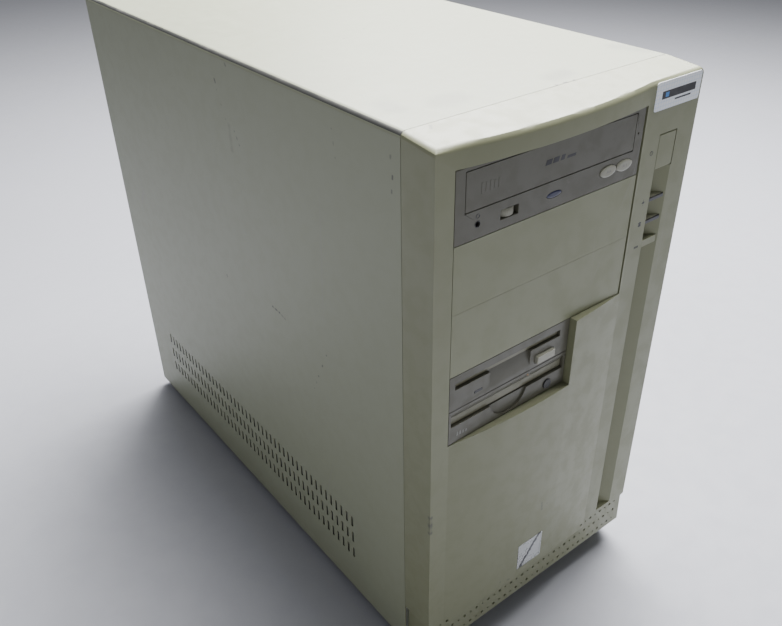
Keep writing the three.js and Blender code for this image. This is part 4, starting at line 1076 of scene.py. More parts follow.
@dataclass
class Case:
    """Cover, bezel, feet and screws."""

    edge: float = 0.5
    closing: float = 0.13
    skin: float = 0.4
    slot_zone: float = 90.0
    head: Pair = (3.4, 1.8)
    washer: Pair = (4.0, 0.8)
    shank: float = 1.7

    def build(self) -> None:
        """Builds and dresses the case."""
        self.cover()
        refined("front_bezel", Finishes.bezel, self.edge, 4.0, 30.0)
        self.blanks()
        for index in range(1, 5):
            refined(f"foot_{index}", Finishes.rubber, 0.0)
            self.screw(index)

    def cover(self) -> None:
        """The cover: painted outside; a near-black undercoat inside and on the slots' cut edges, partly
        painted shade that darkens the hollow cover and its vent slots.
        """
        piece = refined("cover", Finishes.cover, 0.0)
        low, high = low_high("cover")
        piece.data.materials.append(Finishes.primer_and_shade.material())
        for polygon in piece.data.polygons:
            x, _, z = polygon.center / MM
            within = abs(x) < high.x - self.skin and z < high.z - self.skin
            slot_edge = abs(polygon.normal.x) < 0.2 and z < low.z + self.slot_zone
            if within and (abs(polygon.normal.y) < 0.5 or slot_edge):
                polygon.material_index = 1

    def blanks(self) -> None:
        """The two bay covers, standing closer together than their plain shapes."""
        for node, side, shift in (
            ("bay_cover_upper", 0, -self.closing), ("bay_cover_lower", 1, self.closing)
        ):
            plane = low_high(node)[side].z
            piece = refined(node, Finishes.blank, 0.05, 5.0)
            for vertex in piece.data.vertices:
                if abs(vertex.co.z / MM - plane) < 0.1:
                    vertex.co.z += shift * MM

    def screw(self, index: int) -> None:
        """A washer-headed hexagon screw with a slot, in place of the plain one."""
        low, high = low_high(f"cover_screw_{index}")
        middle = (low + high) / 2
        face = (middle.x, high.y, middle.z)
        washer_face = (middle.x, high.y - self.head[1], middle.z)
        head = round_piece("head", *self.head, face, Axis.Y, 1, 6, [(0.35, 0.0), (0.5, -0.5)])
        washer = round_piece("washer", *self.washer, washer_face, Axis.Y, 1, 32, [(0.3, 0.0)])
        covered = self.head[1] + self.washer[1]
        shank_face = (middle.x, high.y - covered, middle.z)
        shank = round_piece("shank", self.shank, high.y - low.y - covered, shank_face, Axis.Y, 1, 20)
        whole = detail(f"screw_{index}_look", [head, washer, shank], Finishes.bright, "cover")
        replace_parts(whole, f"cover_screw_{index}")


@dataclass
class Controls:
    """Power and reset buttons, lamps, badge, label and their printed signs."""

    sign_depth: float = 0.05
    sign_gap: float = 6.2
    strip: float = 1.0
    rim: float = 1.1
    corner: float = 1.6

    def build(self) -> None:
        """Builds and dresses the controls."""
        refined("power_button", Finishes.bezel, 0.7, segments=3)
        refined("reset_button", Finishes.bezel, 0.3)
        for node in ("power_lamp", "disk_lamp"):
            self.lamp(node)
        self.signs()
        self.badge()
        self.label()

    def lamp(self, node: str) -> None:
        """A lamp tab: a pale light guide with a dark glossy front edge."""
        low, high = low_high(node)
        guide = block(
            f"{node}_guide", (low.x, low.y + self.strip, low.z + 0.5), (high.x, high.y, high.z), 0.15
        )
        finish(guide, "chassis", Finishes.guide)
        lens = block(
            f"{node}_lens", (low.x, low.y, low.z), (high.x, low.y + self.strip + 0.4, high.z - 0.25), 0.2
        )
        finish(lens, "chassis", Finishes.gloss)
        foot = block(f"{node}_foot", (low.x, low.y + self.strip, low.z), (high.x, high.y - 1.0, low.z + 0.6))
        finish(foot, "chassis", Finishes.gloss)
        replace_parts(guide, node)

    def stroke(self, x: float, z: float, half_width: float, half_height: float, front: float) -> Piece:
        """A flat printed bar on a face that looks forward."""
        low = (x - half_width, front - self.sign_depth, z - half_height)
        return block("stroke", low, (x + half_width, front + 0.1, z + half_height))

    def signs(self) -> None:
        """Prints the power, lamp, disk and reset signs beside their controls."""
        left, _ = low_high("power_button")
        _, lamp = low_high("power_lamp")
        _, disk = low_high("disk_lamp")
        _, reset = low_high("reset_button")
        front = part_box("bay_cover_upper")[0].y / MM
        x = left.x - self.sign_gap
        z = left.z + 12.5
        circle = ring("circle", 1.3, 0.16, (x, front, z), Axis.Y, 32, 6)
        detail("power_sign", [circle, self.stroke(x, z + 0.5, 0.15, 0.7, front)], Finishes.ink_and_shade)
        z = lamp.z - 1.0
        bulb = round_piece("bulb", 0.9, 0.15, (x, front - self.sign_depth, z), Axis.Y, -1, 20)
        rays = [
            self.stroke(x + dx, z + dz, 0.12 + abs(dx) * 0.12, 0.12 + abs(dz) * 0.12, front)
            for dx, dz in ((1.7, 0), (-1.7, 0), (0, 1.7), (0, -1.7))
        ]
        detail("lamp_sign", [bulb, *rays], Finishes.ink_and_shade)
        z = disk.z - 0.8
        stack = []
        for rise in (-0.9, 0.2, 1.3):
            face = (x - 0.2, front - self.sign_depth, z + rise)
            stack.append(round_piece("platter", 1.5, 0.15, face, Axis.Y, -1, 20, stretch=(1.0, 0.35)))
        detail("disk_sign", stack, Finishes.ink_and_shade)
        z = reset.z - 2.5
        arrow = [self.stroke(x - 1.6 + 1.1 * i, z, 0.36, 0.75, front) for i in range(4)]
        detail("reset_sign", arrow, Finishes.ink_and_shade)

    def badge(self) -> None:
        """A bright square plate with a raised border."""
        low, high = low_high("badge_plate")
        plate = block("badge_look", low, high)
        pick_faces(plate, lambda p: p.normal.y < -0.9)
        bpy.ops.mesh.inset(thickness=self.rim * MM)
        bpy.ops.mesh.inset(thickness=0.3 * MM, depth=-0.35 * MM)
        object_mode()
        soft = plate.modifiers.new("soften", "BEVEL")
        soft.width = 0.12 * MM
        soft.segments = 2
        activate(plate)
        bpy.ops.object.modifier_apply(modifier=soft.name)
        middle = tuple((low + high) / 2 * MM)
        look = Streaked(
            "badge_metal", "badge_metal", (0.52, 0.53, 0.53), (0.42, 0.43, 0.43), (0.25, 0.4),
            metallic=0.55, bump=0.08, scratches=0.6, middle=middle,
        )
        stand_in(plate, "badge_plate", look)

    def label(self) -> None:
        """A white sticker with rounded corners, a pale grid and a plain dark bar."""
        low, high = low_high("case_label")
        sticker = block("label_look", low, high)
        mesh = bmesh.new()
        mesh.from_mesh(sticker.data)
        corners = [e for e in mesh.edges if abs(e.verts[0].co.y - e.verts[1].co.y) > 1e-5]
        bmesh.ops.bevel(mesh, geom=corners, offset=self.corner * MM, segments=5, affect="EDGES", profile=0.5)
        mesh.to_mesh(sticker.data)
        mesh.free()
        stand_in(sticker, "case_label", Finishes.label)
        front = low.y
        z = (low.z + high.z) / 2
        bar = block("bar", (low.x + 6.0, front - 0.04, z - 2.2), (high.x - 5.0, front + 0.1, z + 2.6))
        line = block("line", (low.x + 19.0, front - 0.04, z - 4.6), (high.x - 9.0, front + 0.1, z - 3.6))
        detail("label_bar", [bar, line], Finishes.ink_and_shade)
        dot = block("label_mark", (low.x + 9.2, front - 0.07, z - 1.2), (low.x + 12.4, front + 0.1, z + 1.6))
        finish(dot, "chassis", Finishes.label_blue)


@dataclass
class OpticalDrive:
    """The disc drive's face, tray and housing."""

    key_rise: float = 0.5
    knurls: int = 40
    knurl_depth: float = 0.28
    dashes: tuple[Triple, ...] = ((57.5, 4.6, 3.0), (63.2, 4.6, 3.0), (69.4, 3.0, 3.0), (74.6, 7.0, 1.6))
    bars: tuple[float, ...] = (6.4, 5.2, 5.8, 4.4, 5.4)
    jack_across: float = 16.1
    jack_down: float = 33.6

    def build(self) -> None:
        """Builds and dresses the drive."""
        refined("optical_fascia", Finishes.drive, 0.25, 3.5, crease=8.0)
        refined("tray_door", Finishes.drive, 0.6, segments=3)
        refined("optical_housing", Finishes.steel, 0.2, 5.0)
        refined("disc_tray", Finishes.black, 0.3, 5.0)
        self.keys()
        self.wheel()
        self.lamp()
        self.jack()
        self.marks()

    def keys(self) -> None:
        """Two oval push buttons with domed faces and raised signs."""
        for node, body in (("play_button", "play_key"), ("open_button", "open_key")):
            low, high = low_high(node)
            middle = (low + high) / 2
            width, height = high.x - low.x, high.z - low.z
            key = round_piece(
                f"{node}_look", height / 2, high.y - low.y, (middle.x, low.y, middle.z), Axis.Y, -1, 40,
                [(0.5, self.key_rise * 0.6), (0.7, self.key_rise * 0.4)], (width / height, 1.0), 50.0,
            )
            key.data.transform(Matrix.Translation((0, self.key_rise * MM, 0)))
            stand_in(key, node, Finishes.key)
            front = low.y - 0.05
            sign = round_piece("sign", 1.2, 0.4, (middle.x - 1.2, front, middle.z), Axis.Y, -1, 3)
            parts = [sign]
            if node == "open_button":
                start = (middle.x + 0.9, front, middle.z - 1.0)
                parts.append(block("bar", start, (middle.x + 1.5, front + 0.4, middle.z + 1.0)))
            else:
                face = (middle.x + 1.0, front, middle.z)
                parts.append(round_piece("sign", 1.2, 0.4, face, Axis.Y, -1, 3))
            detail(f"{node}_sign", parts, Finishes.pale_ink, body)

    def wheel(self) -> None:
        """A knurled thumb wheel."""
        low, high = low_high("volume_wheel")
        middle = (low + high) / 2
        radius = (high.x - low.x) / 2
        depth = high.z - low.z
        top = (middle.x, middle.y, high.z)
        steps = [(0.3, 0.0), (0.3, -0.25)]
        wheel = round_piece(
            "wheel_look", radius - self.knurl_depth, depth, top, Axis.Z, 1, self.knurls * 2, steps
        )
        turn = math.pi / self.knurls

        def alternate(polygon: bpy.types.MeshPolygon) -> bool:
            """Every second side face."""
            if abs(polygon.normal.z) > 0.2 or polygon.area < 1e-7:
                return False
            angle = math.atan2(polygon.center.y - middle.y * MM, polygon.center.x - middle.x * MM)
            return int(round(angle / turn - 0.5)) % 2 == 0

        pick_faces(wheel, alternate)
        bpy.ops.mesh.inset(thickness=0.08 * MM, depth=self.knurl_depth * MM, use_individual=True)
        object_mode()
        stand_in(wheel, "volume_wheel", Finishes.key)

    def lamp(self) -> None:
        """A blue oval lens with a domed face."""
        low, high = low_high("optical_lamp")
        middle = (low + high) / 2
        width, height = high.x - low.x, high.z - low.z
        face = (middle.x, low.y + 0.3, middle.z)
        lens = round_piece(
            "optical_lamp_look", height / 2, high.y - face[1], face, Axis.Y, -1, 32,
            [(0.3, 0.15), (0.5, 0.12)], (width / height, 1.0), 50.0,
        )
        stand_in(lens, "optical_lamp", Finishes.blue)

    def jack(self) -> None:
        """The headphone socket's black bushing, and its sign."""
        low, high = low_high("optical_fascia")
        x, z = low.x + self.jack_across, high.z - self.jack_down
        bushing = ring("jack_rim", 1.75, 0.32, (x, low.y + 0.1, z), Axis.Y, 32, 10)
        barrel = round_piece(
            "jack_barrel", 1.7, 9.0, (x, low.y + 0.9, z), Axis.Y, -1, 32, [(0.35, 0.0), (0.02, -8.0)]
        )
        detail("headphone_socket", [bushing, barrel], Finishes.black)
        arc = ring("arc", 1.2, 0.14, (x, low.y, z + 4.7), Axis.Y, 24, 6)
        cups = []
        for across in (x - 1.2, x + 1.2):
            cups.append(
                block("cup", (across - 0.3, low.y - 0.05, z + 3.9), (across + 0.3, low.y + 0.1, z + 5.0))
            )
        detail("headphone_sign", [arc, *cups], Finishes.ink_and_shade)

    def marks(self) -> None:
        """Plain slanted dashes and a row of embossed bars on the tray door."""
        low, _ = low_high("tray_door")
        front = low.y
        z = low.z + 10.5
        dashes = []
        for start, width, height in self.dashes:
            dash = block(
                "dash", (low.x + start, front - 0.05, z), (low.x + start + width, front + 0.1, z + height)
            )
            for vertex in dash.data.vertices:
                vertex.co.x += (vertex.co.z - z * MM) * 0.3
            dashes.append(dash)
        detail("door_dashes", dashes, Finishes.ink_and_shade, "tray")
        bars = []
        for index, height in enumerate(self.bars):
            x = low.x + 10.6 + 3.0 * index
            start = (x, front - 0.12, low.z + 11.0 - height / 2)
            bars.append(block("emboss", start, (x + 1.5, front + 0.2, low.z + 11.0 + height / 2), 0.1))
        detail("door_emboss", bars, Finishes.drive, "tray")


@dataclass
class SlimDrives:
    """The two 3.5 inch drives' faces, flaps, buttons and housings."""

    def build(self) -> None:
        """Builds and dresses both drives."""
        refined("floppy_fascia", Finishes.drive, 0.2, 1.5)
        refined("cartridge_fascia", Finishes.drive, 0.25, 4.5)
        refined("floppy_housing", Finishes.steel, 0.2, 5.0)
        refined("cartridge_housing", Finishes.steel, 0.2, 5.0)
        refined("floppy_flap", Finishes.flap, 0.12)
        refined("cartridge_flap", Finishes.flap, 0.12)
        refined("floppy_button", Finishes.key, 0.6, segments=3)
        self.round_button()
        self.lamps()

    def round_button(self) -> None:
        """The cartridge drive's dished round button."""
        low, high = low_high("cartridge_button")
        middle = (low + high) / 2
        radius = (high.x - low.x) / 2
        face = (middle.x, low.y, middle.z)
        steps = [(0.35, 0.0), (0.8, -0.35)]
        key = round_piece(
            "cartridge_button_look", radius, high.y - low.y, face, Axis.Y, -1, 40, steps, smooth=50.0
        )
        stand_in(key, "cartridge_button", Finishes.black)

    def lamps(self) -> None:
        """The small activity lamps and a row of embossed bars."""
        low, high = low_high("floppy_fascia")
        lens = block(
            "floppy_lens", (low.x + 20.1, low.y - 0.1, high.z - 20.1),
            (low.x + 26.5, low.y + 2.0, high.z - 18.5), 0.2,
        )
        finish(lens, "chassis", Finishes.gloss)
        low, high = low_high("cartridge_fascia")
        dot = round_piece(
            "cartridge_lens", 0.7, 1.0, (low.x + 66.1, low.y - 0.1, high.z - 2.6), Axis.Y, -1, 20,
            [(0.2, 0.05)],
        )
        finish(dot, "chassis", Finishes.amber)
        bars = []
        for index in range(4):
            x = low.x + 6.5 + 2.4 * index
            top = low.z + 7.6 - 0.5 * index
            bars.append(block("emboss", (x, low.y - 0.12, low.z + 4.4), (x + 1.2, low.y + 0.2, top), 0.1))
        detail("cartridge_emboss", bars, Finishes.pale_ink)


@dataclass
class Stage:
    """Floor, camera and soft studio light."""

    camera_place: Triple = (-0.342507, -0.496734, 0.548077)
    camera_turn: Triple = (57.25096, 0.932467, -37.969685)
    focal_share: float = 1.03398721
    sensor: float = 36.0
    floor_width: float = 12.0
    surround: float = 0.27

    def build(self) -> None:
        """Sets the stage."""
        deselect()
        bpy.ops.mesh.primitive_grid_add(size=self.floor_width, x_subdivisions=8, y_subdivisions=8)
        floor = bpy.context.object
        floor.name = "studio_floor"
        floor.data.transform(Matrix.Translation((0, 0, -0.0005)))
        floor.data.materials.append(Finishes.paper.material())
        self.camera()
        self.lights()

    def camera(self) -> None:
        """The camera at the viewing angle."""
        data = bpy.data.cameras.new("camera")
        data.sensor_width = self.sensor
        data.lens = self.sensor * self.focal_share
        data.clip_start = 0.01
        view = bpy.data.objects.new("camera", data)
        view.location = self.camera_place
        view.rotation_euler = [math.radians(value) for value in self.camera_turn]
        bpy.context.scene.collection.objects.link(view)
        bpy.context.scene.camera = view

    def lights(self) -> None:
        """A broad soft light over the tower and a pale surround."""
        self.area("overhead", (0.6, 0.3, 1.4), (0.05, 0.0, 0.4), 1.3, 162.0)
        self.area("fill", (-0.8, -0.95, 0.12), (0.0, -0.15, 0.05), 0.5, 2.0)
        world = bpy.data.worlds.new("surround")
        world.use_nodes = True
        background = world.node_tree.nodes["Background"]
        background.inputs["Color"].default_value = (0.95, 0.97, 1.0, 1.0)
        background.inputs["Strength"].default_value = self.surround
        bpy.context.scene.world = world

    def area(self, name: str, place: Triple, target: Triple, size: float, power: float) -> None:
        """A square soft light that looks at a point."""
        data = bpy.data.lights.new(name, "AREA")
        data.size = size
        data.energy = power
        lamp = bpy.data.objects.new(name, data)
        lamp.location = place
        lamp.rotation_euler = (Vector(target) - Vector(place)).to_track_quat("-Z", "Y").to_euler()
        bpy.context.scene.collection.objects.link(lamp)


@dataclass
class Chassis:
    """The sheet steel inside the cover: pan, panels, cages, tray and brace."""

    edge: float = 0.2
    screw_shares: Triple = (0.12, 0.52, 0.94)
    sheets: tuple[str, ...] = (
        "base_pan",
        "front_plate",
        "motherboard_tray",
        "top_brace",
        "drive_cage_wide",
        "drive_cage_slim",
        "rear_panel",
    )

    def build(self) -> None:
        """Softens every sheet and adds the drives' fixing screws."""
        for node in self.sheets:
            refined(node, Finishes.steel, self.edge, 6.0)
        self.cage_screws()

    def cage_screws(self) -> None:
        """Cross-headed screws through the cages' left walls."""
        heads = []
        rows = (
            ("drive_cage_wide", 0.9), ("drive_cage_wide", 0.08), ("drive_cage_slim", 0.92),
            ("drive_cage_slim", 0.1),
        )
        for node, share in rows:
            low, high = low_high(node)
            for depth in self.screw_shares:
                face = (low.x - 1.2, low.y + depth * (high.y - low.y), low.z + share * (high.z - low.z))
                heads.append(round_piece("head", 2.6, 1.2, face, Axis.X, -1, 20, [(0.4, 0.15), (1.2, -0.3)]))
        detail("cage_screws", heads, Finishes.bright)


@dataclass
class Fan:
    """A square fan with a shaped rotor."""

    name: str
    axis: Axis
    hub: float
    bore: float
    body: str
    blades: int = 7
    pitch: float = 32.0
    twist: float = 18.0
    tip_gap: float = 1.4
    half_blade: float = 0.55

    def build(self) -> None:
        """Softens the frame and builds the rotor with its sticker."""
        refined(f"{self.name}_frame", Finishes.black, 0.4, 1.2)
        node = f"{self.name}_rotor"
        low, high = low_high(node)
        middle = (low + high) / 2
        depth = high[self.index] - low[self.index]
        face = list(middle)
        face[self.index] = low[self.index]
        steps = [(0.6, 0.3), (0.4, 0.0), (1.2, -0.25)]
        hub = round_piece("hub", self.hub, depth, face, self.axis, -1, 48, steps, smooth=40.0)
        pieces = [hub, *(self.blade(middle, depth, index) for index in range(self.blades))]
        rotor = detail(f"{node}_look", pieces, Finishes.black, self.body)
        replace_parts(rotor, node)
        disc_face = list(face)
        disc_face[self.index] += 0.02
        disc = round_piece(
            "disc", self.hub * 0.72, 0.3, disc_face, self.axis, -1, 40, [(self.hub * 0.16, 0.0)]
        )
        detail(f"{self.name}_sticker", [disc], Finishes.silver_paper, self.body)

    @property
    def index(self) -> int:
        """The axis as a number."""
        return self.axis.value

    def blade(self, middle: Vector, depth: float, index: int) -> Piece:
        """One twisted blade, from inside the hub to the bore.

        Args:
            middle: the rotor's middle, in millimetres.
            depth: the rotor's length along its axis.
            index: which blade.

        Returns:
            The blade.
        """
        reach = self.bore - self.tip_gap
        low = (self.hub * 0.8, -0.35 * depth, -self.half_blade)
        blade = block("blade", low, (reach, 0.35 * depth, self.half_blade))
        edit_all(blade)
        bpy.ops.mesh.subdivide(number_cuts=5)
        object_mode()
        span = (reach - low[0]) * MM
        for vertex in blade.data.vertices:
            share = (vertex.co.x - low[0] * MM) / span
            turn = math.radians(self.pitch + self.twist * share)
            y, z = vertex.co.y, vertex.co.z + 90.0 * vertex.co.y**2
            z -= 0.06 * share * span
            vertex.co.y = y * math.cos(turn) - z * math.sin(turn)
            vertex.co.z = y * math.sin(turn) + z * math.cos(turn)
        blade.rotation_euler = (0.0, 2 * math.pi * index / self.blades, 0.0)
        settle(blade)
        if self.axis is Axis.X:
            blade.rotation_euler = (0.0, 0.0, -math.pi / 2)
            settle(blade)
        blade.location = middle * MM
        settle(blade)
        shade(blade, 50.0)
        return blade


@dataclass
class PowerSupply:
    """The power supply, its fan guard, inlet, selector and lead."""

    wire: float = 0.8
    rings: tuple[float, ...] = (10.0, 19.0, 28.0, 37.0)
    screw_reach: float = 32.0
    print_lines: tuple[float, ...] = (54.0, 60.0, 44.0, 60.0, 52.0, 36.0)

    def build(self) -> None:
        """Builds and dresses the supply."""
        refined("power_supply_case", Finishes.steel, 0.25, 6.0)
        self.guard()
        self.inlet()
        self.selector()
        self.lead()
        self.rating_label()

    def guard(self) -> None:
        """Round wire rings on two bent arms, held by four screws."""
        low, high = low_high("fan_guard")
        middle = (low + high) / 2
        pieces = [ring("ring", radius, self.wire, middle, Axis.Y, 64, 10) for radius in self.rings]
        half = (high.x - low.x) / 2 * math.sqrt(2.0)
        for turn in (45.0, -45.0):
            deselect()
            bpy.ops.mesh.primitive_cylinder_add(
                vertices=12, radius=self.wire * MM, depth=2 * (half - 2.0) * MM
            )
            arm = bpy.context.object
            arm.rotation_euler = (0.0, math.radians(turn), 0.0)
            arm.location = middle * MM
            settle(arm)
            shade(arm, 50.0)
            pieces.append(arm)
        screws = []
        for across in (-1, 1):
            for up in (-1, 1):
                place = (middle.x + across * self.screw_reach, middle.y, middle.z + up * self.screw_reach)
                pieces.append(ring("eye", 2.9, self.wire, place, Axis.Y, 28, 8))
                face = (place[0], high.y + 0.9, place[2])
                screws.append(round_piece("head", 3.2, 2.2, face, Axis.Y, 1, 24, [(0.5, 0.25), (1.4, -0.4)]))
        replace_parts(detail("fan_guard_look", pieces, Finishes.bright), "fan_guard")
        detail("fan_guard_screws", screws, Finishes.bright)

    def inlet(self) -> None:
        """The three-pin socket with bright pins."""
        refined("mains_inlet", Finishes.black, 0.4, 3.0)
        low, high = low_high("mains_inlet")
        middle = (low + high) / 2
        pins = []
        for across, up in ((-7.0, -1.5), (0.0, 2.5), (7.0, -1.5)):
            x, z = middle.x + across, middle.z + up
            pins.append(
                block("pin", (x - 1.1, high.y - 12.0, z - 2.1), (x + 1.1, high.y - 2.2, z + 2.1), 0.35)
            )
        detail("inlet_pins", pins, Finishes.bright)

    def selector(self) -> None:
        """The sliding voltage selector with grip ridges."""
        low, high = low_high("voltage_selector")
        knob = block("voltage_selector_look", low, high, 0.3)
        ribs = []
        for index in range(4):
            x = low.x + 0.6 + 1.6 * index
            ribs.append(
                block("rib", (x, high.y - 0.2, low.z + 0.8), (x + 0.6, high.y + 0.35, high.z - 0.8), 0.1)
            )
        whole = detail("voltage_selector_look", [knob, *ribs], Finishes.red, "selector")
        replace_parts(whole, "voltage_selector")

    def lead(self) -> None:
        """The braided lead and the white plug at the drive's end."""
        refined("power_lead", Finishes.sleeve, 0.0)
        low, _ = low_high("power_lead")
        _, back = low_high("optical_housing")
        ends = [v.co / MM for v in frame["nodes"]["power_lead"].data.vertices if v.co.y / MM < low.y + 0.5]
        x, _, z = ends[-1]
        plug = block("drive_plug", (x - 14.0, back.y + 0.2, z - 4.5), (x + 8.0, back.y + 13.0, z + 4.5), 0.8)
        finish(plug, "chassis", Finishes.nylon)

    def rating_label(self) -> None:
        """A plain rating label with bars for lines of print."""
        low, _ = low_high("power_supply_case")
        x = low.x - 0.06
        y, z = low.y + 30.0, low.z + 22.0
        paper = block("rating_label", (x, y, z), (x + 0.1, y + 70.0, z + 42.0))
        finish(paper, "chassis", Finishes.silver_paper)
        bars = []
        for index, length in enumerate(self.print_lines):
            height = z + 35.0 - 5.6 * index
            bars.append(block("bar", (x - 0.04, y + 5.0, height), (x + 0.05, y + 5.0 + length, height + 1.6)))
        detail("rating_lines", bars, Finishes.ink_and_shade)


# The top card slot's middle, the slots' pitch and the board's near side.
SLOT_TOP = 143.5
SLOT_PITCH = 20.32
NEAR = 31.1


@dataclass
class Motherboard:
    """The main board with its sockets, chips, memory and cooler.

    A chip is its near end, its bottom, its width and its height, in the tower's frame.
    """

    used_slots: tuple[int, int] = (0, 3)
    chip_places: tuple[tuple[float, float, float, float], ...] = (
        (75.0, 128.0, 14.0, 20.0),
        (46.0, 130.0, 10.0, 26.0),
        (150.0, 180.0, 20.0, 20.0),
        (175.0, 170.0, 10.0, 16.0),
        (70.0, 60.0, 22.0, 22.0),
        (52.0, 95.0, 8.0, 18.0),
        (150.0, 290.0, 12.0, 26.0),
    )
    leg_pitch: float = 1.6
    can_start: Pair = (145.0, 225.0)
    can_pitch: Pair = (9.5, 14.0)
    can_size: Pair = (3.6, 11.0)
    cans: int = 8
    supply_plug: tuple[Pair, Pair] = ((190.0, 262.0), (199.0, 308.0))
    memory_chips: int = 8
    memory_pitch: float = 15.6
    memory_contacts: int = 40
    contact_pitch: float = 3.1
    memory_socket: Pair = (169.5, 309.5)
    ribbon_header: Pair = (25.0, 83.0)

    def build(self) -> None:
        """Builds and dresses the board and everything plugged into it."""
        dress("motherboard", Finishes.board)
        refined("processor_heatsink", Finishes.heatsink, 0.15, 3.0)
        _, self.high = low_high("motherboard")
        self.face = self.high.x - 1.6
        self.sockets()
        self.chips()
        self.capacitors()
        self.memory()
        self.header()

    def cap(self, name: str, height: float, y: Pair, z: Pair, look: Finish, rounding: float = 0.25) -> Piece:
        """A coloured shell over a raised part of the board.

        Args:
            name: the piece's name.
            height: of the raised part above the board.
            y: its near and far ends.
            z: its bottom and top.
            look: its finish.
            rounding: edge radius.

        Returns:
            The shell.
        """
        x = self.face
        piece = block(
            name, (x - height - 0.12, y[0] - 0.12, z[0] - 0.12), (x + 0.4, y[1] + 0.12, z[1] + 0.12), rounding
        )
        return finish(piece, "chassis", look)

    def sockets(self) -> None:
        """White card sockets, a brown one at the top; each free socket gets a thin near-black strip in its
        slit, painted shade.
        """
        back = self.high.y
        slit_shades = []
        looks = (Finishes.brown, *(Finishes.nylon,) * 3, *(Finishes.black,) * 2)
        for index, look in enumerate(looks):
            z = SLOT_TOP - SLOT_PITCH * index
            self.cap(f"card_socket_{index + 1}", 11.0, (back - 110.0, back - 25.0), (z - 4.0, z + 4.0), look)
            if index not in self.used_slots:
                start = (self.face - 11.2, back - 107.0, z - 0.9)
                slit_shades.append(block("slit", start, (self.face - 11.05, back - 28.0, z + 0.9)))
        detail("socket_slits", slit_shades, Finishes.ink_and_shade)

    def chips(self) -> None:
        """Black chips with a pin-one dimple, laid on the board's face."""
        x = self.face
        chips = []
        legs = []
        for y, z, width, height in self.chip_places:
            chips.append(block("chip", (x - 2.2, y, z), (x - 0.3, y + width, z + height), 0.3))
            face = (x - 2.25, y + 2.0, z + height - 2.0)
            chips.append(round_piece("dimple", 0.8, 0.1, face, Axis.X, -1, 16))
            count = int(height / self.leg_pitch)
            for leg in range(count):
                foot = z + 0.8 + leg * (height - self.leg_pitch) / max(count - 1, 1)
                start = (x - 0.8, y - 1.2, foot - 0.25)
                legs.append(block("leg", start, (x - 0.02, y + width + 1.2, foot + 0.25)))
        detail("board_chips", chips, Finishes.black)
        detail("chip_legs", legs, Finishes.port)
        y, z = NEAR + 60.0, SLOT_TOP + 40.0
        self.cap("bridge_chip", 2.0, (y, y + 30.0), (z - 15.0, z + 15.0), Finishes.black, 0.4)
        sink_low, sink_high = low_high("processor_heatsink")
        span = (NEAR + 55.0, NEAR + 105.0)
        self.cap("processor_socket", 5.0, span, (sink_low.z, sink_high.z), Finishes.nylon, 0.4)

    def capacitors(self) -> None:
        """Round cans in a row beside the processor and near the supply plug."""
        x = self.face
        cans = []
        tops = []
        for index in range(self.cans):
            y = self.can_start[0] + self.can_pitch[0] * (index % 4)
            z = self.can_start[1] + self.can_pitch[1] * (index // 4)
            face = (x - self.can_size[1], y, z)
            cans.append(round_piece("can", *self.can_size, face, Axis.X, -1, 28, [(0.5, 0.25)]))
            tops.append(round_piece("top", 2.9, 0.4, (x - 11.3, y, z), Axis.X, -1, 28, [(0.4, 0.0)]))
        detail("capacitors", cans, Finishes.can)
        detail("capacitor_tops", tops, Finishes.port)
        near, far = self.supply_plug
        plug = block("supply_plug", (x - 12.0, *near), (x - 0.05, *far), 0.5)
        finish(plug, "chassis", Finishes.nylon)

    def memory(self) -> None:
        """Memory boards with chips and gold contacts."""
        for index in (1, 2):
            node = f"memory_module_{index}"
            dress(node, Finishes.memory)
            low, high = low_high(node)
            chips = []
            for row in range(self.memory_chips):
                z = low.z + 6.0 + self.memory_pitch * row
                start = (low.x + 7.0, low.y - 1.0, z)
                chips.append(block("chip", start, (low.x + 21.0, high.y + 1.0, z + 11.5), 0.2))
            detail(f"{node}_chips", chips, Finishes.black)
            fingers = []
            for finger in range(self.memory_contacts):
                z = low.z + 5.0 + self.contact_pitch * finger
                start = (high.x - 3.0, low.y - 0.04, z)
                fingers.append(block("finger", start, (high.x - 0.1, high.y + 0.04, z + 1.8)))
            detail(f"{node}_contacts", fingers, Finishes.gold)
            y = (low.y + high.y) / 2
            self.cap(f"memory_socket_{index}", 8.0, (y - 3.4, y + 3.4), self.memory_socket, Finishes.nylon)

    def header(self) -> None:
        """The drive cable's header, its plug and the ribbon itself."""
        low, high = low_high("drive_ribbon")
        colours = ((0.36, 0.36, 0.37), (0.31, 0.31, 0.32))
        core = Ribbed("ribbon_grey", "ribbon_grey", *colours, (0.4, 0.55), bump=0.1, low=low.z * MM)
        refined("drive_ribbon", core, 0.0)
        disk_low, disk = low_high("hard_drive")
        bottom, top = low.z - 3.0, high.z + 3.0
        left, right = disk_low.x + 9.7, disk_low.x + 15.7
        plug = block("plug", (left, disk.y + 0.2, bottom), (right, disk.y + 11.0, top), 0.5)
        y = NEAR + 14.0
        board_plug = block("plug", (self.face - 20.0, y - 3.2, bottom), (self.face - 9.2, y + 3.2, top), 0.5)
        detail("ribbon_plugs", [plug, board_plug], Finishes.black)
        self.cap("ribbon_header", 9.0, (y - 4.0, y + 4.0), self.ribbon_header, Finishes.black)


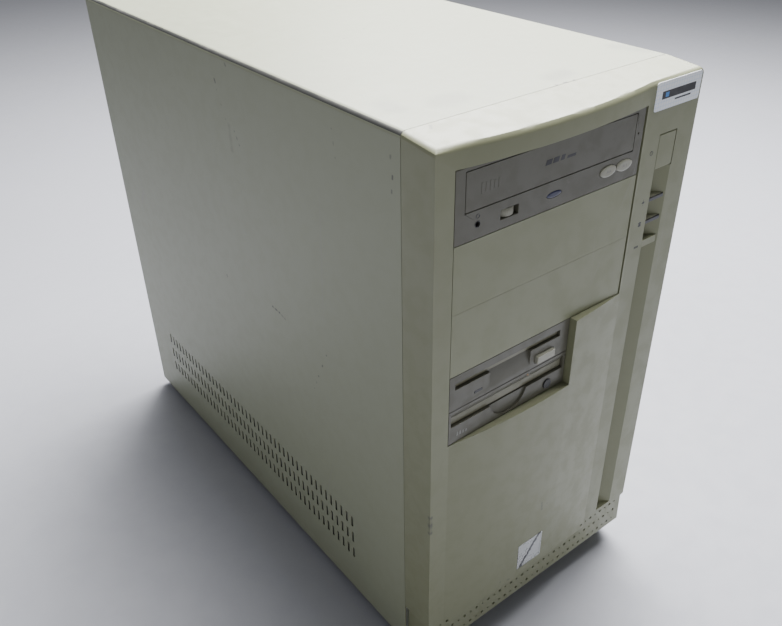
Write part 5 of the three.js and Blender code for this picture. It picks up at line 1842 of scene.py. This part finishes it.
@dataclass
class Card:
    """An expansion card with its bracket, sockets, chips and contacts.

    An outlet is its distance from the bracket's right end, its width, its height and its kind. A
    chip is its left side, its near end, its width and its depth, in the tower's frame.
    """

    node: str
    slot: int
    outlets: tuple[tuple[float, float, float, str], ...]
    right: float = 86.4
    bracket: Pair = (-21.0, 90.5)
    chip_places: tuple[tuple[float, float, float, float], ...] = (
        (0.0, 100.0, 14.0, 20.0),
        (0.0, 130.0, 14.0, 20.0),
        (46.0, 95.0, 18.0, 8.0),
        (52.0, 195.0, 12.0, 12.0),
        (8.0, 195.0, 10.0, 16.0),
    )
    contacts: int = 28
    contact_start: float = 117.0
    contact_pitch: float = 2.5

    def build(self) -> None:
        """Builds and dresses the card."""
        dress(self.node, Finishes.card)
        low, high = low_high(self.node)
        z = SLOT_TOP - SLOT_PITCH * self.slot
        panel = low_high("rear_panel")[1].y
        start, end = self.bracket
        bracket = block("bracket", (start, panel - 2.25, z - 9.1), (end, panel - 1.28, z + 9.1), 0.15)
        detail(f"{self.node}_bracket", [bracket], Finishes.port)
        self.faces(panel, high.y, z)
        self.chips(low, z)

    def faces(self, panel: float, back: float, z: float) -> None:
        """The sockets seen from behind: pinned shells or coloured rings.

        Args:
            panel: where the rear panel's face lies.
            back: the sockets' outer ends.
            z: the card's middle.
        """
        for number, (across, width, tall, kind) in enumerate(self.outlets):
            x0, x1 = self.right - across - width, self.right - across
            half = tall / 2
            low = (x0 - 0.15, panel - 8.0, z - half - 0.15)
            shell = block("shell", low, (x1 + 0.15, back + 0.2, z + half + 0.15), 0.6)
            look = Finishes.port
            x = (x0 + x1) / 2
            if kind == "round":
                look = (Finishes.amber, Finishes.teal, Finishes.red)[number % 3]
                rim = ring("rim", 2.4, 0.5, (x, back + 0.1, z), Axis.Y, 32, 8)
                # A near-black disc in the socket's mouth is painted shade for its opening.
                hole = round_piece("hole", 1.8, 0.3, (x, back + 0.35, z), Axis.Y, 1, 28, [(0.2, 0.0)])
                detail(f"{self.node}_rim_{number + 1}", [rim], Finishes.bright)
                detail(f"{self.node}_hole_{number + 1}", [hole], Finishes.ink_and_shade)
            else:
                low = (x0 + 3.0, back + 0.1, z - half + 1.2)
                face = block("face", low, (x1 - 3.0, back + 0.3, z + half - 1.2), 0.08)
                insert = Finishes.blue if kind == "blue" else Finishes.black
                detail(f"{self.node}_insert_{number + 1}", [face], insert)
                step = (width - 10.0) / 7
                places = [(x0 + 5.0 + i * step, back + 0.4, z + dz) for i in range(8) for dz in (-1.8, 1.8)]
                holes = [round_piece("pin", 0.45, 0.2, place, Axis.Y, 1, 12) for place in places]
                detail(f"{self.node}_pins_{number + 1}", holes, Finishes.gold)
            detail(f"{self.node}_shell_{number + 1}", [shell], look)

    def chips(self, low: Vector, z: float) -> None:
        """Chips on top of the card and gold fingers along its lower edge."""
        top = z + 0.8
        chips = []
        for x, y, width, depth in self.chip_places:
            y = max(y, low.y + 4.0)
            chips.append(block("chip", (x, y, top), (x + width, y + depth, top + 2.0), 0.25))
        detail(f"{self.node}_chips", chips, Finishes.black)
        fingers = []
        for finger in range(self.contacts):
            y = self.contact_start + self.contact_pitch * finger
            fingers.append(block("finger", (72.0, y, z - 0.85), (74.6, y + 1.6, z + 0.85)))
        detail(f"{self.node}_contacts", fingers, Finishes.gold)


@dataclass
class RearPorts:
    """The shield and its column of sockets, each placed by its drop below the shield's top."""

    right: float = 87.0
    top: float = 314.5
    width: float = 12.0
    stud_inset: float = 1.9
    end_margin: float = 5.5
    pin_pitch: float = 2.8
    flat_drops: Pair = (39.5, 47.0)
    round_drops: tuple[tuple[float, Finish], ...] = ((4.0, Finishes.plum), (19.0, Finishes.green))
    pinned: tuple[tuple[float, float, Finish], ...] = (
        (80.0, 118.0, Finishes.wine),
        (58.0, 76.0, Finishes.teal),
        (124.0, 154.0, Finishes.blue),
    )

    def build(self) -> None:
        """Builds and dresses every socket's face."""
        refined("rear_ports", Finishes.port, 0.25, 3.0)
        _, high = low_high("rear_ports")
        back = high.y
        for start, end, look in self.pinned:
            self.serial(back, start, end, look)
        for index, (drop, look) in enumerate(self.round_drops):
            x, z = self.right - 7.0, self.top - drop - 7.0
            disc = round_piece("disc", 6.0, 1.0, (x, back + 0.4, z), Axis.Y, 1, 40, [(0.7, 0.0), (0.4, -0.4)])
            detail(f"round_socket_{index + 1}", [disc], look)
            pins = []
            # Near-black dots on the socket's face are painted shade for its pin openings.
            for turn in range(6):
                angle = math.radians(30.0 + 50.0 * turn)
                place = (x + 3.4 * math.cos(angle), back + 0.25, z + 3.4 * math.sin(angle))
                pins.append(round_piece("pin", 0.5, 0.3, place, Axis.Y, 1, 12))
            detail(f"round_socket_pins_{index + 1}", pins, Finishes.ink_and_shade)
        # Thin near-black plates on the shield are painted shade for the flat sockets' openings.
        slots = []
        for drop in self.flat_drops:
            z = self.top - drop
            low = (self.right - 12.5, back + 0.02, z - 5.5)
            slots.append(block("slot", low, (self.right - 1.5, back + 0.2, z), 0.05))
        detail("flat_sockets", slots, Finishes.ink_and_shade)

    def serial(self, back: float, start: float, end: float, look: Finish) -> None:
        """A pinned socket with two hexagon studs.

        Args:
            back: the shell's outer face.
            start: its top below the opening's top.
            end: its bottom below the opening's top.
            look: the insert's finish.
        """
        low, high = self.top - end, self.top - start
        x = self.right - self.width / 2
        name = f"port_{int(start)}"
        insert = block("insert", (x - 3.6, back - 0.2, low + 4.5), (x + 3.6, back + 0.9, high - 4.5), 0.4)
        detail(f"{name}_insert", [insert], look)
        span = end - start - 2 * self.end_margin
        count = max(3, int(span / self.pin_pitch))
        step, first = span / (count - 1), low + self.end_margin
        places = [(x + dx, back + 1.05, first + step * i) for i in range(count) for dx in (-1.5, 1.5)]
        pins = [round_piece("pin", 0.5, 0.3, place, Axis.Y, 1, 12) for place in places]
        detail(f"{name}_pins", pins, Finishes.gold)
        steps = [(0.8, 0.0), (0.1, -1.2)]
        ends = (low + self.stud_inset, high - self.stud_inset)
        studs = [round_piece("stud", 2.2, 2.0, (x, back + 1.8, z), Axis.Y, 1, 6, steps) for z in ends]
        detail(f"{name}_studs", studs, Finishes.bright)


@dataclass
class HardDrive:
    """The fixed disk with its label, circuit board and screws.

    A chip is its place along and up from the disk's lowest corner, its width and its height.
    """

    board_inset: float = 2.94
    chip_places: tuple[tuple[float, float, float, float], ...] = (
        (30.0, 30.0, 16.0, 16.0),
        (60.0, 52.0, 12.0, 18.0),
        (86.0, 28.0, 9.0, 14.0),
    )
    print_lines: tuple[float, ...] = (50.0, 62.0, 40.0, 58.0, 30.0)
    screw_places: tuple[Sequence[float], Sequence[float]] = ((8.0, 74.0, 138.0), (7.0, 94.0))

    def build(self) -> None:
        """Builds and dresses the disk."""
        refined("hard_drive", Finishes.disk, 0.8, 6.0, segments=3)
        low, high = low_high("hard_drive")
        x = low.x + self.board_inset
        board = block(
            "disk_board", (x - 0.9, low.y + 16.0, low.z + 10.0), (x + 0.3, high.y - 26.0, high.z - 12.0), 0.1
        )
        finish(board, "chassis", Finishes.board)
        chips = []
        for along, up, width, height in self.chip_places:
            y, z = low.y + along, low.z + up
            chips.append(block("chip", (x - 2.0, y, z), (x - 0.8, y + width, z + height), 0.2))
        detail("disk_chips", chips, Finishes.black)
        side = high.x + 0.02
        paper = block(
            "disk_label", (side - 0.1, low.y + 40.0, low.z + 22.0), (side + 0.05, low.y + 118.0, low.z + 78.0)
        )
        finish(paper, "chassis", Finishes.silver_paper)
        bars = []
        for index, length in enumerate(self.print_lines):
            z = low.z + 68.0 - 9.0 * index
            bars.append(block("bar", (side, low.y + 46.0, z), (side + 0.09, low.y + 46.0 + length, z + 2.4)))
        detail("disk_label_lines", bars, Finishes.ink_and_shade)
        heads = []
        for along in self.screw_places[0]:
            for up in self.screw_places[1]:
                face = (high.x + 0.5, low.y + along, low.z + up)
                heads.append(round_piece("head", 2.4, 0.6, face, Axis.X, 1, 24, [(0.4, 0.0), (1.0, -0.35)]))
        detail("disk_screws", heads, Finishes.bright)


def main() -> None:
    """Builds every sub-assembly in order and reports each."""
    logging.basicConfig(level=logging.INFO, format="%(name)s: %(message)s")
    sound = (*((across, 8.0, 8.0, "round") for across in (14.0, 26.0, 38.0)), (52.0, 39.0, 11.0, "dark"))
    parts = (
        Stage(),
        Case(),
        Controls(),
        OpticalDrive(),
        SlimDrives(),
        Chassis(),
        PowerSupply(),
        Fan("supply_fan", Axis.Y, 18.0, 38.0, "supply_rotor"),
        Fan("processor_fan", Axis.X, 12.0, 22.5, "processor_rotor"),
        Motherboard(),
        Card("graphics_card", 0, ((34.0, 31.0, 11.0, "blue"),)),
        Card("sound_card", 3, sound),
        RearPorts(),
        HardDrive(),
    )
    for part in parts:
        part.build()
        LOG.info("built %s", type(part).__name__)


if __name__ == "__main__":
    main()
